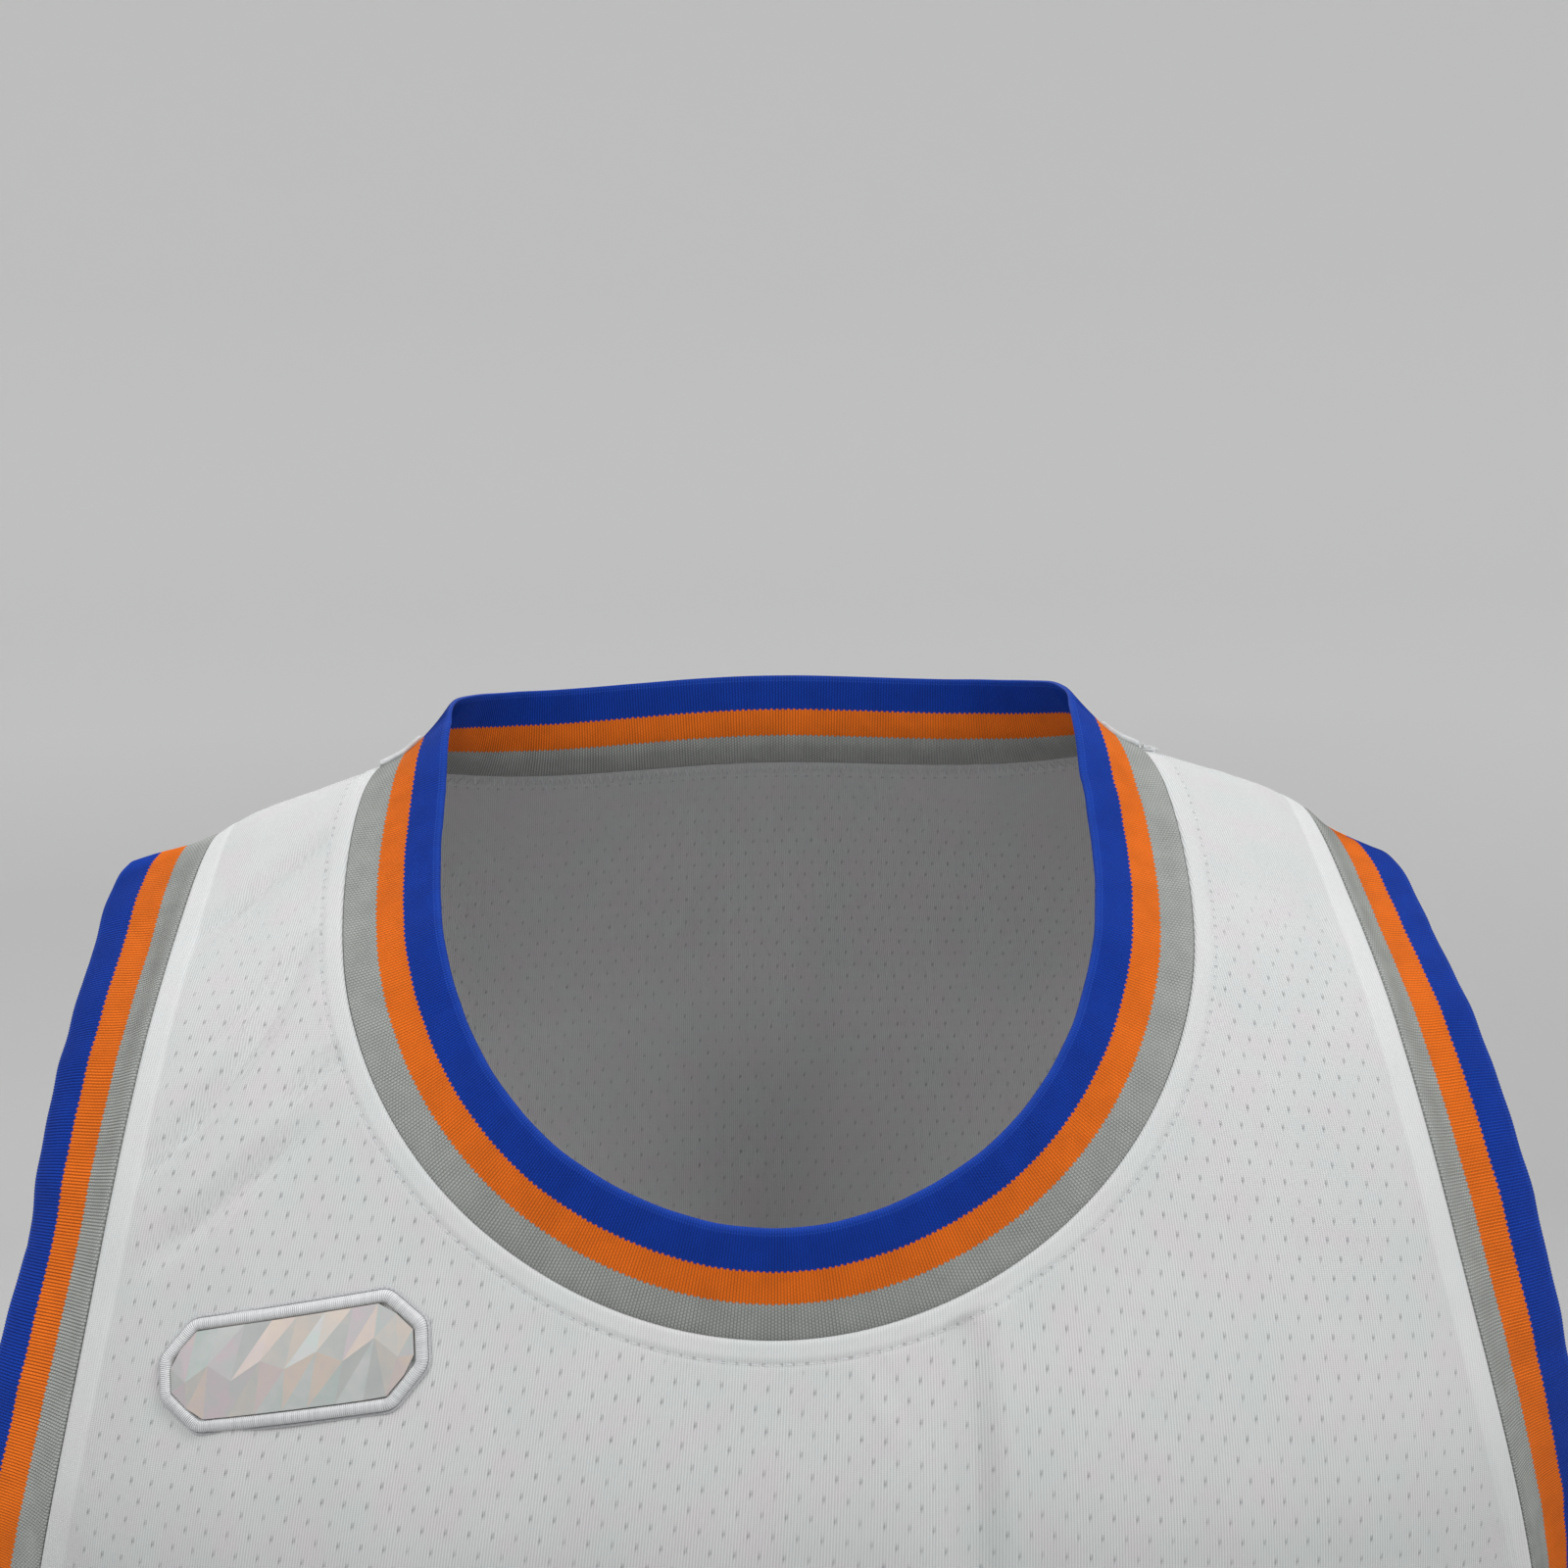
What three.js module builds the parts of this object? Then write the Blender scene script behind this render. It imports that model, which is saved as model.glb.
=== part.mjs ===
import * as THREE from 'three';

// A basketball jersey, hollow, as it hangs when worn: front and back panels of mesh knit, a striped
// rib band round the neck and round each armhole, and a stitched badge on the chest.
// Millimetres, +Z up, the front faces -Y. The origin is where the shoulders carry the shirt, midway
// between the undersides of the two straps.

// Main sizes of the worn shirt
const hemDrop = 740;
const underarmDrop = 305;
const strapInner = 112;
const strapOuter = 160;
const frontNeckLevel = 177.7;
const backNeckLevel = 52;
const bandWidth = 28;
const panelWall = 2;
const hemWall = 3;
const hemDepth = 22;
const bandWall = 2.6;
const armholeLean = -8.5;
const seamGap = 0.3;

// The shoulder line is a rounded ridge, highest at the neck, that falls away to the sides
const ridgeSoftness = 30;
const shoulderSlope = 0.354;
const shoulderRound = 57;
const slopeFade = 140;
const tipFall = 4;
const tipWidth = 16;
const tipReach = 60;

// Level rings of the worn shape, down from the top of the shoulder line. half is half the width,
// front and back are the depths on either side of the shoulder line.
const rings = [
  { drop: 0, half: 251, front: 0, back: 0 },
  { drop: 20, half: 251, front: 38, back: 34 },
  { drop: 60, half: 251, front: 82, back: 62 },
  { drop: 120, half: 246, front: 116, back: 88 },
  { drop: 200, half: 236, front: 141, back: 105 },
  { drop: 300, half: 214, front: 144, back: 107 },
  { drop: 400, half: 206, front: 137, back: 100 },
  { drop: 740, half: 215, front: 133, back: 106 },
];
const ringSquareness = 2.84;
const ringSteps = 240;

// Places on the cloth are [across, level]. across is measured along the cloth from the centre line,
// and level runs down from the shoulder line, with minus levels on the back.
// Each edge is one cubic curve, given by its four handles on the wearer's left side.
const frontNeck = [[strapInner, 0], [134.6, 112.6], [61, frontNeckLevel], [0, frontNeckLevel]];
const backNeck = [[strapInner, 0], [106, -30], [64, -backNeckLevel], [0, -backNeckLevel]];
const underarmLevel = levelOf(underarmDrop);
const hemLevel = levelOf(hemDrop);
const frontArmhole = [[strapOuter, 0], [168, 112], [188, underarmLevel], null];
const backArmhole = [[strapOuter, 0], [153, -80], [178, -underarmLevel], null];

// Soft folds of the worn cloth: from one place to another, bowed sideways by bow, with the height
// out from the body and the width from crest to flank. One with open: true runs out at the hem.
const folds = [
  { from: [32, 186], to: [44, 430], bow: 3, width: 12, height: 3.2 },
  { from: [50, 184], to: [66, 420], bow: 4, width: 11, height: -2.6 },
  { from: [-96, 300], to: [-112, hemLevel], bow: 6, width: 24, height: 9, open: true },
  { from: [-170, 330], to: [-176, hemLevel], bow: -8, width: 21, height: -7, open: true },
  { from: [-40, 360], to: [-58, hemLevel], bow: -7, width: 22, height: -8, open: true },
  { from: [6, 330], to: [-6, hemLevel], bow: 5, width: 23, height: 8, open: true },
  { from: [62, 400], to: [58, hemLevel], bow: 4, width: 20, height: -7, open: true },
  { from: [112, 290], to: [118, hemLevel], bow: -6, width: 25, height: 10, open: true },
  { from: [172, 370], to: [184, hemLevel], bow: 5, width: 20, height: -7, open: true },
  { from: [-226, 320], to: [-128, 450], bow: 8, width: 12, height: 4 },
  { from: [224, 325], to: [140, 435], bow: -9, width: 13, height: 4.5 },
  { from: [-90, -240], to: [-104, -hemLevel], bow: -6, width: 24, height: 9, open: true },
  { from: [-150, -330], to: [-158, -hemLevel], bow: 7, width: 20, height: -7, open: true },
  { from: [-30, -300], to: [-44, -hemLevel], bow: 6, width: 22, height: -8, open: true },
  { from: [18, -360], to: [12, -hemLevel], bow: -5, width: 21, height: 7, open: true },
  { from: [66, -310], to: [70, -hemLevel], bow: 6, width: 21, height: -8, open: true },
  { from: [104, -230], to: [122, -hemLevel], bow: 5, width: 24, height: 9, open: true },
  { from: [160, -350], to: [172, -hemLevel], bow: -6, width: 19, height: -6, open: true },
  { from: [210, -320], to: [122, -430], bow: 7, width: 12, height: 4 },
  { from: [-208, -325], to: [-134, -440], bow: -8, width: 13, height: 4.5 },
];
// Folds that lie along a side seam, on both panels alike
const sideFolds = [
  { sign: -1, from: 350, width: 24, height: 9 },
  { sign: 1, from: 335, width: 26, height: 10 },
];
const foldFree = 34;

// The badge is a long plate with cut corners, in facets, inside an embroidered rim
const badgePlace = [-122, 172];
const badgeTurn = 0.04;
const badgeLength = 62;
const badgeHeight = 22;
const badgeCorner = 7;
const badgeCells = 6;
const badgeLift = 0.6;
const badgeEdge = 1.1;
const badgeCrown = 2.3;
const rimWidth = 3.2;
const rimThick = 1.5;

// Grid steps
const strapSteps = 4;
const neckSteps = 28;
const armholeSteps = 15;
const sideSteps = 16;
const endCrowding = 0.08;
const relaxPasses = 60;
const normalReach = 3;

const smooth = (x) => THREE.MathUtils.smoothstep(x, 0, 1);
const mix = THREE.MathUtils.lerp;

function levelOf(drop) {
  return Math.sqrt(drop * (drop + 2 * ridgeSoftness));
}

function dropOf(level) {
  return Math.hypot(level, ridgeSoftness) - ridgeSoftness;
}

// A smooth curve through the rows of a table that never overshoots a row
function curveThrough(at, values) {
  const gaps = at.slice(1).map((place, i) => place - at[i]);
  const slopes = gaps.map((gap, i) => (values[i + 1] - values[i]) / gap);
  const tangents = at.map((place, i) => {
    if (i === 0) return slopes[0];
    if (i === slopes.length) return slopes[i - 1];
    if (slopes[i - 1] * slopes[i] <= 0) return 0;
    const before = 2 * gaps[i] + gaps[i - 1];
    const after = gaps[i] + 2 * gaps[i - 1];
    return (before + after) / (before / slopes[i - 1] + after / slopes[i]);
  });
  return (place) => {
    let i = 0;
    while (i < gaps.length - 1 && place > at[i + 1]) i += 1;
    const s = (place - at[i]) / gaps[i];
    const rise = s * s * (3 - 2 * s);
    return mix(values[i], values[i + 1], rise)
      + gaps[i] * (tangents[i] * s * (1 - s) ** 2 - tangents[i + 1] * s * s * (1 - s));
  };
}

const ringLevels = rings.map((ring) => levelOf(ring.drop));
const halfAt = curveThrough(ringLevels, rings.map((ring) => ring.half));
const frontAt = curveThrough(ringLevels, rings.map((ring) => ring.front));
const backAt = curveThrough(ringLevels, rings.map((ring) => ring.back));

// A quarter of the ring at one level, with the distance along the cloth to each of its points
const quarterStore = new Map();
function quarter(level) {
  if (quarterStore.has(level)) return quarterStore.get(level);
  const depth = (level < 0 ? backAt : frontAt)(Math.abs(level));
  const half = halfAt(Math.abs(level));
  const run = [0];
  const points = [];
  for (let i = 0; i <= ringSteps; i += 1) {
    const turn = (i / ringSteps) * Math.PI / 2;
    const x = half * Math.sin(turn) ** (2 / ringSquareness);
    const y = depth * Math.max(Math.cos(turn), 0) ** (2 / ringSquareness);
    points.push([x, y]);
    if (i > 0) run.push(run[i - 1] + Math.hypot(x - points[i - 1][0], y - points[i - 1][1]));
  }
  const found = { run, points, length: run[ringSteps] };
  quarterStore.set(level, found);
  return found;
}

// Half the cloth's width at a level, from the centre line to the side seam
function sideAt(level) {
  return quarter(level).length;
}

// How far the shoulder line has fallen at x, which fades out down the body
function slopeFall(x, level) {
  const line = Math.hypot(x, shoulderRound) - shoulderRound;
  const atTip = smooth((x - strapOuter + tipWidth) / (1.6 * tipWidth));
  const nearLine = 1 - smooth(level / tipReach);
  return shoulderSlope * line / (1 + (level / slopeFade) ** 2) + tipFall * atTip * nearLine;
}

// The worn shape without folds. Past the side seam it carries on round onto the other panel.
function bodyPoint(across, level) {
  const ring = quarter(level);
  const reach = Math.abs(across);
  const past = reach > ring.length;
  const along = past ? 2 * ring.length - reach : reach;
  let i = 0;
  let last = ringSteps;
  while (last - i > 1) {
    const middle = (i + last) >> 1;
    if (ring.run[middle] > along) last = middle;
    else i = middle;
  }
  const s = (along - ring.run[i]) / (ring.run[last] - ring.run[i]);
  const x = mix(ring.points[i][0], ring.points[last][0], s);
  const y = mix(ring.points[i][1], ring.points[last][1], s) * (past ? -1 : 1);
  const z = -dropOf(level) - slopeFall(x, Math.abs(level));
  return new THREE.Vector3(Math.sign(across) * x, level < 0 ? y : -y, z);
}

function bodyNormal(across, level) {
  const right = bodyPoint(across + normalReach, level).sub(bodyPoint(across - normalReach, level));
  const down = bodyPoint(across, level + normalReach).sub(bodyPoint(across, level - normalReach));
  return down.cross(right).normalize();
}

// How far the folds push the cloth out from the body at a place
function foldHeight(across, level) {
  const side = Math.sign(level);
  const fromSeam = sideAt(level) - Math.abs(across);
  let height = 0;
  for (const fold of folds) {
    if (Math.sign(fold.to[1]) !== side) continue;
    const s = (level - fold.from[1]) / (fold.to[1] - fold.from[1]);
    const part = THREE.MathUtils.clamp(s, 0, 1);
    const middle = mix(fold.from[0], fold.to[0], part) + fold.bow * 4 * part * (1 - part);
    const fade = fold.open ? smooth(s / 0.6) : smooth(s / 0.4) * smooth((1 - s) / 0.4);
    height += fold.height * fade * Math.exp(-(((across - middle) / fold.width) ** 2));
  }
  height *= smooth(fromSeam / foldFree);
  for (const fold of sideFolds) {
    if (Math.sign(across) !== fold.sign) continue;
    const fade = smooth((Math.abs(level) - fold.from) / (hemLevel - fold.from) / 0.7);
    height += fold.height * fade * Math.exp(-((fromSeam / fold.width) ** 2));
  }
  return height;
}

// The wall's middle at a place, and the way out of the cloth there
function clothAt([across, level]) {
  const normal = bodyNormal(across, level);
  const point = bodyPoint(across, level).addScaledVector(normal, foldHeight(across, level));
  return { point, normal };
}

function cubic(handles, s) {
  const weights = [(1 - s) ** 3, 3 * s * (1 - s) ** 2, 3 * s * s * (1 - s), s ** 3];
  return [0, 1].map((axis) => weights.reduce((sum, weight, i) => sum + weight * handles[i][axis], 0));
}

// Points spaced along an edge curve, closer together towards its ends by crowding
function spacedPoints(handles, steps, crowding) {
  const fine = 400;
  const points = [];
  const run = [0];
  for (let i = 0; i <= fine; i += 1) {
    points.push(cubic(handles, i / fine));
    if (i === 0) continue;
    const [before, here] = points.slice(-2);
    run.push(run[i - 1] + Math.hypot(here[0] - before[0], here[1] - before[1]));
  }
  const spaced = [];
  for (let k = 0; k <= steps; k += 1) {
    const target = run[fine] * (k / steps - crowding * Math.sin(2 * Math.PI * k / steps));
    const i = Math.max(1, run.findIndex((length) => length >= target - 1e-9));
    const s = (target - run[i - 1]) / (run[i] - run[i - 1]);
    spaced.push([0, 1].map((axis) => mix(points[i - 1][axis], points[i][axis], s)));
  }
  return spaced;
}

const mirrored = (place) => [-place[0], place[1]];

// The four edges of a panel: face is 1 for the front and -1 for the back
function panelEdges(face) {
  const underarm = face * underarmLevel;
  const hem = face * hemLevel;
  const armhole = (face > 0 ? frontArmhole : backArmhole).slice(0, 3);
  armhole.push([sideAt(underarm) - seamGap / 2, underarm]);
  const neck = spacedPoints(face > 0 ? frontNeck : backNeck, neckSteps / 2, 0);
  const arm = spacedPoints(armhole, armholeSteps, endCrowding);
  const shoulder = face * seamGap / 2;
  neck[0] = [neck[0][0], shoulder];
  arm[0] = [arm[0][0], shoulder];
  const side = [];
  for (let k = 1; k <= sideSteps; k += 1) {
    const level = mix(underarm, hem, k / sideSteps);
    side.push([sideAt(level) - seamGap / 2, level]);
  }
  const strap = [];
  for (let k = 0; k < strapSteps; k += 1) {
    strap.push([mix(strapOuter, strapInner, k / strapSteps), shoulder]);
  }
  const leftTop = [...strap, ...neck];
  const top = [...leftTop.map(mirrored), ...leftTop.slice(0, -1).reverse()];
  return { top, side: [...arm, ...side], neck, arm };
}

// The places of a panel's grid, filled in between its edges
function panelGrid(face) {
  const { top, side } = panelEdges(face);
  const across = top.length - 1;
  const down = side.length - 1;
  const shares = [0];
  for (let j = 1; j <= down; j += 1) shares.push(side[j][1] / side[down][1]);
  const grid = [];
  for (let i = 0; i <= across; i += 1) {
    const u = i / across;
    const column = [];
    for (let j = 0; j <= down; j += 1) {
      const v = j / down;
      const topExtra = top[i][0] - mix(-strapOuter, strapOuter, u);
      const level = side[j][1] + (top[i][1] - side[0][1]) * (1 - shares[j]);
      column.push([mix(-side[j][0], side[j][0], u) + topExtra * (1 - v) ** 2, level]);
    }
    grid.push(column);
  }
  relax(grid);
  return grid;
}

// Moves the inner places of a grid until its lines cross about as squarely as its edges allow
function relax(grid) {
  const between = (a, b, axis) => (b[axis] - a[axis]) / 2;
  for (let pass = 0; pass < relaxPasses; pass += 1) {
    for (let i = 1; i < grid.length - 1; i += 1) {
      for (let j = 1; j < grid[0].length - 1; j += 1) {
        const [left, right] = [grid[i - 1][j], grid[i + 1][j]];
        const [above, below] = [grid[i][j - 1], grid[i][j + 1]];
        const along = [between(left, right, 0), between(left, right, 1)];
        const down = [between(above, below, 0), between(above, below, 1)];
        const downSize = down[0] ** 2 + down[1] ** 2;
        const alongSize = along[0] ** 2 + along[1] ** 2;
        const skew = along[0] * down[0] + along[1] * down[1];
        grid[i][j] = [0, 1].map((axis) => {
          const twist = between(grid[i + 1][j - 1], grid[i + 1][j + 1], axis)
            - between(grid[i - 1][j - 1], grid[i - 1][j + 1], axis);
          const pull = downSize * (left[axis] + right[axis]) + alongSize * (above[axis] + below[axis]);
          return (pull - skew * twist) / (2 * (downSize + alongSize));
        });
      }
    }
  }
}

// A closed wall from a grid of its outer points and one of its inner points. A loop has no ends.
function wallMesh(name, outer, inner, loop, color, roughness) {
  const columns = outer.length;
  const rows = outer[0].length;
  const points = [...outer.flat(), ...inner.flat()];
  const positions = points.flatMap((point) => point.toArray());
  const out = (i, j) => (i % columns) * rows + j;
  const back = (i, j) => columns * rows + out(i, j);
  const faces = [];
  const quad = (a, b, c, d) => {
    const shorter = points[a].distanceTo(points[c]) <= points[b].distanceTo(points[d]);
    faces.push(...(shorter ? [a, b, c, a, c, d] : [a, b, d, b, c, d]));
  };
  const spans = loop ? columns : columns - 1;
  for (let i = 0; i < spans; i += 1) {
    for (let j = 0; j < rows - 1; j += 1) {
      quad(out(i, j), out(i, j + 1), out(i + 1, j + 1), out(i + 1, j));
      quad(back(i, j), back(i + 1, j), back(i + 1, j + 1), back(i, j + 1));
    }
    quad(out(i, 0), out(i + 1, 0), back(i + 1, 0), back(i, 0));
    quad(out(i, rows - 1), back(i, rows - 1), back(i + 1, rows - 1), out(i + 1, rows - 1));
  }
  for (let j = 0; !loop && j < rows - 1; j += 1) {
    quad(out(0, j), back(0, j), back(0, j + 1), out(0, j + 1));
    quad(out(columns - 1, j), out(columns - 1, j + 1), back(columns - 1, j + 1), back(columns - 1, j));
  }
  return solidMesh(name, positions, faces, color, roughness);
}

// A mesh from points and faces, turned right side out
function solidMesh(name, positions, faces, color, roughness) {
  const corner = (k) => new THREE.Vector3().fromArray(positions, 3 * faces[k]);
  let volume = 0;
  for (let k = 0; k < faces.length; k += 3) volume += corner(k).dot(corner(k + 1).cross(corner(k + 2)));
  if (volume < 0) faces.reverse();
  const geometry = new THREE.BufferGeometry();
  geometry.setAttribute('position', new THREE.Float32BufferAttribute(positions, 3));
  geometry.setIndex(faces);
  geometry.computeVertexNormals();
  const material = new THREE.MeshStandardMaterial({ color, roughness, metalness: 0 });
  const mesh = new THREE.Mesh(geometry, material);
  mesh.name = name;
  return mesh;
}

// Front or back panel: thicker along the hem, where the cloth is turned up
function panel(name, face) {
  const sides = panelGrid(face).map((column) => column.map((place) => {
    const { point, normal } = clothAt(place);
    const turnUp = smooth((Math.abs(place[1]) - hemLevel + 1.4 * hemDepth) / (0.4 * hemDepth));
    const half = mix(panelWall, hemWall, turnUp) / 2;
    return [point.clone().addScaledVector(normal, half), point.clone().addScaledVector(normal, -half)];
  }));
  const outer = sides.map((column) => column.map((pair) => pair[0]));
  const inner = sides.map((column) => column.map((pair) => pair[1]));
  return wallMesh(name, outer, inner, false, 0xd2d7d5, 0.85);
}

// A rib band sewn to a closed run of places, leaning out from the cloth by the angle lean gives
const bandRows = [
  { width: 0, wall: 1 },
  { width: 0.3, wall: 1 },
  { width: 0.66, wall: 1 },
  { width: 0.93, wall: 0.92 },
  { width: 1, wall: 0.5 },
];
function band(name, places, lean, color) {
  const edge = places.map(clothAt);
  const count = edge.length;
  const outer = [];
  const inner = [];
  edge.forEach(({ point, normal }, i) => {
    const before = edge[(i + count - 1) % count].point;
    const along = edge[(i + 1) % count].point.clone().sub(before).normalize();
    const away = normal.clone().cross(along).normalize();
    const angle = lean(places[i]);
    const centre = point.clone().addScaledVector(away, seamGap);
    let passed = 0;
    outer.push([]);
    inner.push([]);
    for (const row of bandRows) {
      const turn = angle * 2 * Math.min(row.width, 0.5);
      const step = (row.width - passed) * bandWidth;
      centre.addScaledVector(away, step * Math.cos(turn)).addScaledVector(normal, step * Math.sin(turn));
      passed = row.width;
      const half = row.wall * bandWall / 2;
      const facing = normal.clone().multiplyScalar(Math.cos(turn));
      facing.addScaledVector(away, -Math.sin(turn));
      outer[i].push(centre.clone().addScaledVector(facing, half));
      inner[i].push(centre.clone().addScaledVector(facing, -half));
    }
  });
  return wallMesh(name, outer, inner, true, color, 0.8);
}

// The neck edge runs round the front from one shoulder to the other, then back behind the neck
function neckPlaces() {
  const front = panelEdges(1).neck;
  const back = panelEdges(-1).neck;
  const shoulder = [strapInner, 0];
  const frontRun = [...front.slice(1).map(mirrored), ...front.slice(1, -1).reverse()];
  const backRun = [...back.slice(1), ...back.slice(1, -1).reverse().map(mirrored)];
  return [mirrored(shoulder), ...frontRun, shoulder, ...backRun];
}

// An armhole edge runs from the shoulder down the front, under the arm and up the back
function armholePlaces(sign) {
  const front = panelEdges(1).arm;
  const back = panelEdges(-1).arm;
  const underarm = [(sideAt(underarmLevel)), underarmLevel];
  const run = [[strapOuter, 0], ...front.slice(1, -1), underarm, ...back.slice(1, -1).reverse()];
  return sign > 0 ? run : run.map(mirrored).reverse();
}

// The neck band stands up from the cloth, most of all behind the neck. It lies flat beside the neck in
// front and turns out again at the bottom. The armhole bands turn in.
const neckLeanAt = curveThrough([-backNeckLevel, 0, 95, frontNeckLevel], [40, 24, 2, 20]);
function neckLean([, level]) {
  return THREE.MathUtils.degToRad(neckLeanAt(level));
}

function armLean() {
  return THREE.MathUtils.degToRad(armholeLean);
}

// The outline of the badge with its corners cut, grown outward by margin
function badgeOutline(margin) {
  const x = badgeLength / 2 + margin;
  const y = badgeHeight / 2 + margin;
  const cut = badgeCorner + margin * 0.59;
  const upper = [];
  for (let k = 0; k <= badgeCells; k += 1) upper.push([mix(-x + cut, x - cut, k / badgeCells), y]);
  const lower = upper.map(([px]) => [-px, -y]);
  return [[-x, y - cut], ...upper, [x, y - cut], [x, cut - y], ...lower, [-x, cut - y]];
}

// A point of the badge, lifted off the cloth's outer face
function onChest([px, py], lift) {
  const place = [
    badgePlace[0] + px * Math.cos(badgeTurn) - py * Math.sin(badgeTurn),
    badgePlace[1] - px * Math.sin(badgeTurn) - py * Math.cos(badgeTurn),
  ];
  const { point, normal } = clothAt(place);
  return point.addScaledVector(normal, panelWall / 2 + lift);
}

// The faceted plate: a line of crowns along its middle, each joined to the outline round it
function badgePlate() {
  const outline = badgeOutline(0);
  const count = outline.length;
  const crowns = [];
  for (let k = 0; k < badgeCells; k += 1) {
    const px = mix(-badgeLength / 2, badgeLength / 2, (k + 0.5) / badgeCells);
    crowns.push([px, (k % 2 === 0 ? 1 : -1) * badgeHeight * 0.12]);
  }
  const nearest = (point) => crowns.reduce((best, crown, k) => (
    Math.abs(crown[0] - point[0]) < Math.abs(crowns[best][0] - point[0]) ? k : best), 0);
  const points = [
    ...outline.map((point) => onChest(point, badgeLift)),
    ...outline.map((point) => onChest(point, badgeLift + badgeEdge)),
    ...crowns.map((point) => onChest(point, badgeLift)),
    ...crowns.map((point) => onChest(point, badgeLift + badgeCrown)),
  ];
  const faces = [];
  for (let i = 0; i < count; i += 1) {
    const next = (i + 1) % count;
    faces.push(i, next, count + next, i, count + next, count + i);
    const from = nearest(outline[i]);
    const to = nearest(outline[next]);
    const base = 2 * count;
    const top = 2 * count + badgeCells;
    faces.push(count + i, count + next, top + from, next, i, base + from);
    if (from !== to) faces.push(count + next, top + to, top + from, base + to, next, base + from);
  }
  return solidMesh('chest_badge', points.flatMap((point) => point.toArray()), faces, 0xb7a8bd, 0.35);
}

// The embroidered rim round the plate
function badgeRim() {
  const inside = badgeOutline(seamGap);
  const outside = badgeOutline(seamGap + rimWidth);
  const middle = inside.map((point, i) => [0, 1].map((axis) => (point[axis] + outside[i][axis]) / 2));
  const top = [
    inside.map((point) => onChest(point, badgeLift + rimThick * 0.7)),
    middle.map((point) => onChest(point, badgeLift + rimThick)),
    outside.map((point) => onChest(point, badgeLift + rimThick * 0.5)),
  ];
  const base = [inside, middle, outside].map((ring) => ring.map((point) => onChest(point, badgeLift)));
  const turned = (rows) => rows[0].map((point, i) => rows.map((row) => row[i]));
  return wallMesh('chest_badge_border', turned(top), turned(base), true, 0xc9c4cc, 0.7);
}

const jersey = new THREE.Group();
jersey.add(
  panel('front_panel', 1),
  panel('back_panel', -1),
  band('neck_band', neckPlaces(), neckLean, 0x2a4790),
  band('armhole_band_left', armholePlaces(1), armLean, 0x2a4790),
  band('armhole_band_right', armholePlaces(-1), armLean, 0x2a4790),
  badgePlate(),
  badgeRim(),
);

// The straps rest on the shoulders: their underside, half way along, is at the height of the origin
const strapMiddle = clothAt([(strapInner + strapOuter) / 2, 0]);
jersey.position.z = -strapMiddle.point.z + panelWall / 2;

export default jersey;
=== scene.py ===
# %% [markdown]
# # A basketball jersey
#
# The object is a sleeveless shirt of white mesh knit in the shape that it has when worn, with a
# rib band in three stripes round the neck and round each armhole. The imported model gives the
# frame and the solids. Each solid of cloth is replaced here by a thin shell on the same form,
# which is written again below, so that seams, ribs and stitches can be added where they belong.

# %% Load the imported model
import math
import bpy
import numpy as np
from mathutils import Matrix, Vector


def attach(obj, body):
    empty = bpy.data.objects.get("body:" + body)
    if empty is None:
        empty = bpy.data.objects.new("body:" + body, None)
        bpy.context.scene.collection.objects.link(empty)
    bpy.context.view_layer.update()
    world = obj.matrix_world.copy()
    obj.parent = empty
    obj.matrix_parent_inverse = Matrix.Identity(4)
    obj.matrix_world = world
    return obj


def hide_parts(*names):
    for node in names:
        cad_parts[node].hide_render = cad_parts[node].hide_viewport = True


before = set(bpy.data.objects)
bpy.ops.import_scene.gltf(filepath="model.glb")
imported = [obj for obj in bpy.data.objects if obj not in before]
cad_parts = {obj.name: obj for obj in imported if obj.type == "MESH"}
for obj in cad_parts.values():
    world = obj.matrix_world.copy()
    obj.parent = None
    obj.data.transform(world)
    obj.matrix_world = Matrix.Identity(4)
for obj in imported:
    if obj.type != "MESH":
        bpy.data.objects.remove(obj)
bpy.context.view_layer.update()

# %% [markdown]
# ## The camera
#
# The picture is a close view of the neck and chest, from the front and nearly level. A normal
# lens stands about 0.64 m before the shoulder line, looks a little down and is tilted by about
# a degree. The camera comes first, because everything that follows is judged through it.

# %% Set up the camera
MM = 0.001
camera_place = (-12.52, -636.43, 92.05)
camera_down, camera_turn, camera_roll = (math.radians(angle) for angle in (8.062, 1.7036, -1.2931))

forward = np.array([
    math.sin(camera_turn) * math.cos(camera_down),
    math.cos(camera_turn) * math.cos(camera_down),
    -math.sin(camera_down),
])
level_right = np.array([math.cos(camera_turn), -math.sin(camera_turn), 0])
level_up = np.cross(level_right, forward)
camera_right = level_right * math.cos(camera_roll) + level_up * math.sin(camera_roll)
camera_up = level_up * math.cos(camera_roll) - level_right * math.sin(camera_roll)

lens = bpy.data.cameras.new("close_view")
lens.lens = 50
lens.sensor_width = 36
lens.clip_start = 0.01
camera = bpy.data.objects.new("close_view", lens)
bpy.context.scene.collection.objects.link(camera)
turn = Matrix([camera_right, camera_up, -forward]).transposed().to_4x4()
camera.matrix_world = Matrix.Translation(Vector(camera_place) * MM) @ turn
bpy.context.scene.camera = camera
bpy.context.scene.view_settings.view_transform = "Standard"
print("camera at", [round(v * MM, 4) for v in camera_place], "m")

# %% [markdown]
# ## Floor and light
#
# A shirt has no stand of its own, so the floor is only a pale studio sweep: flat under the
# shirt, and turned up in a wide bowl far away, so that there is no horizon line from any side.
# The light is soft: a pale world, a lamp high on each side of the camera and one behind.

# %% Make the sweep and the lamps
def linear(red, green, blue):
    """A colour given as it looks on a screen, 0 to 255, as the numbers that a shader takes."""
    return tuple((((c / 255 + 0.055) / 1.055) ** 2.4 if c > 10 else c / 255 / 12.92)
                 for c in (red, green, blue)) + (1,)


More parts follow.
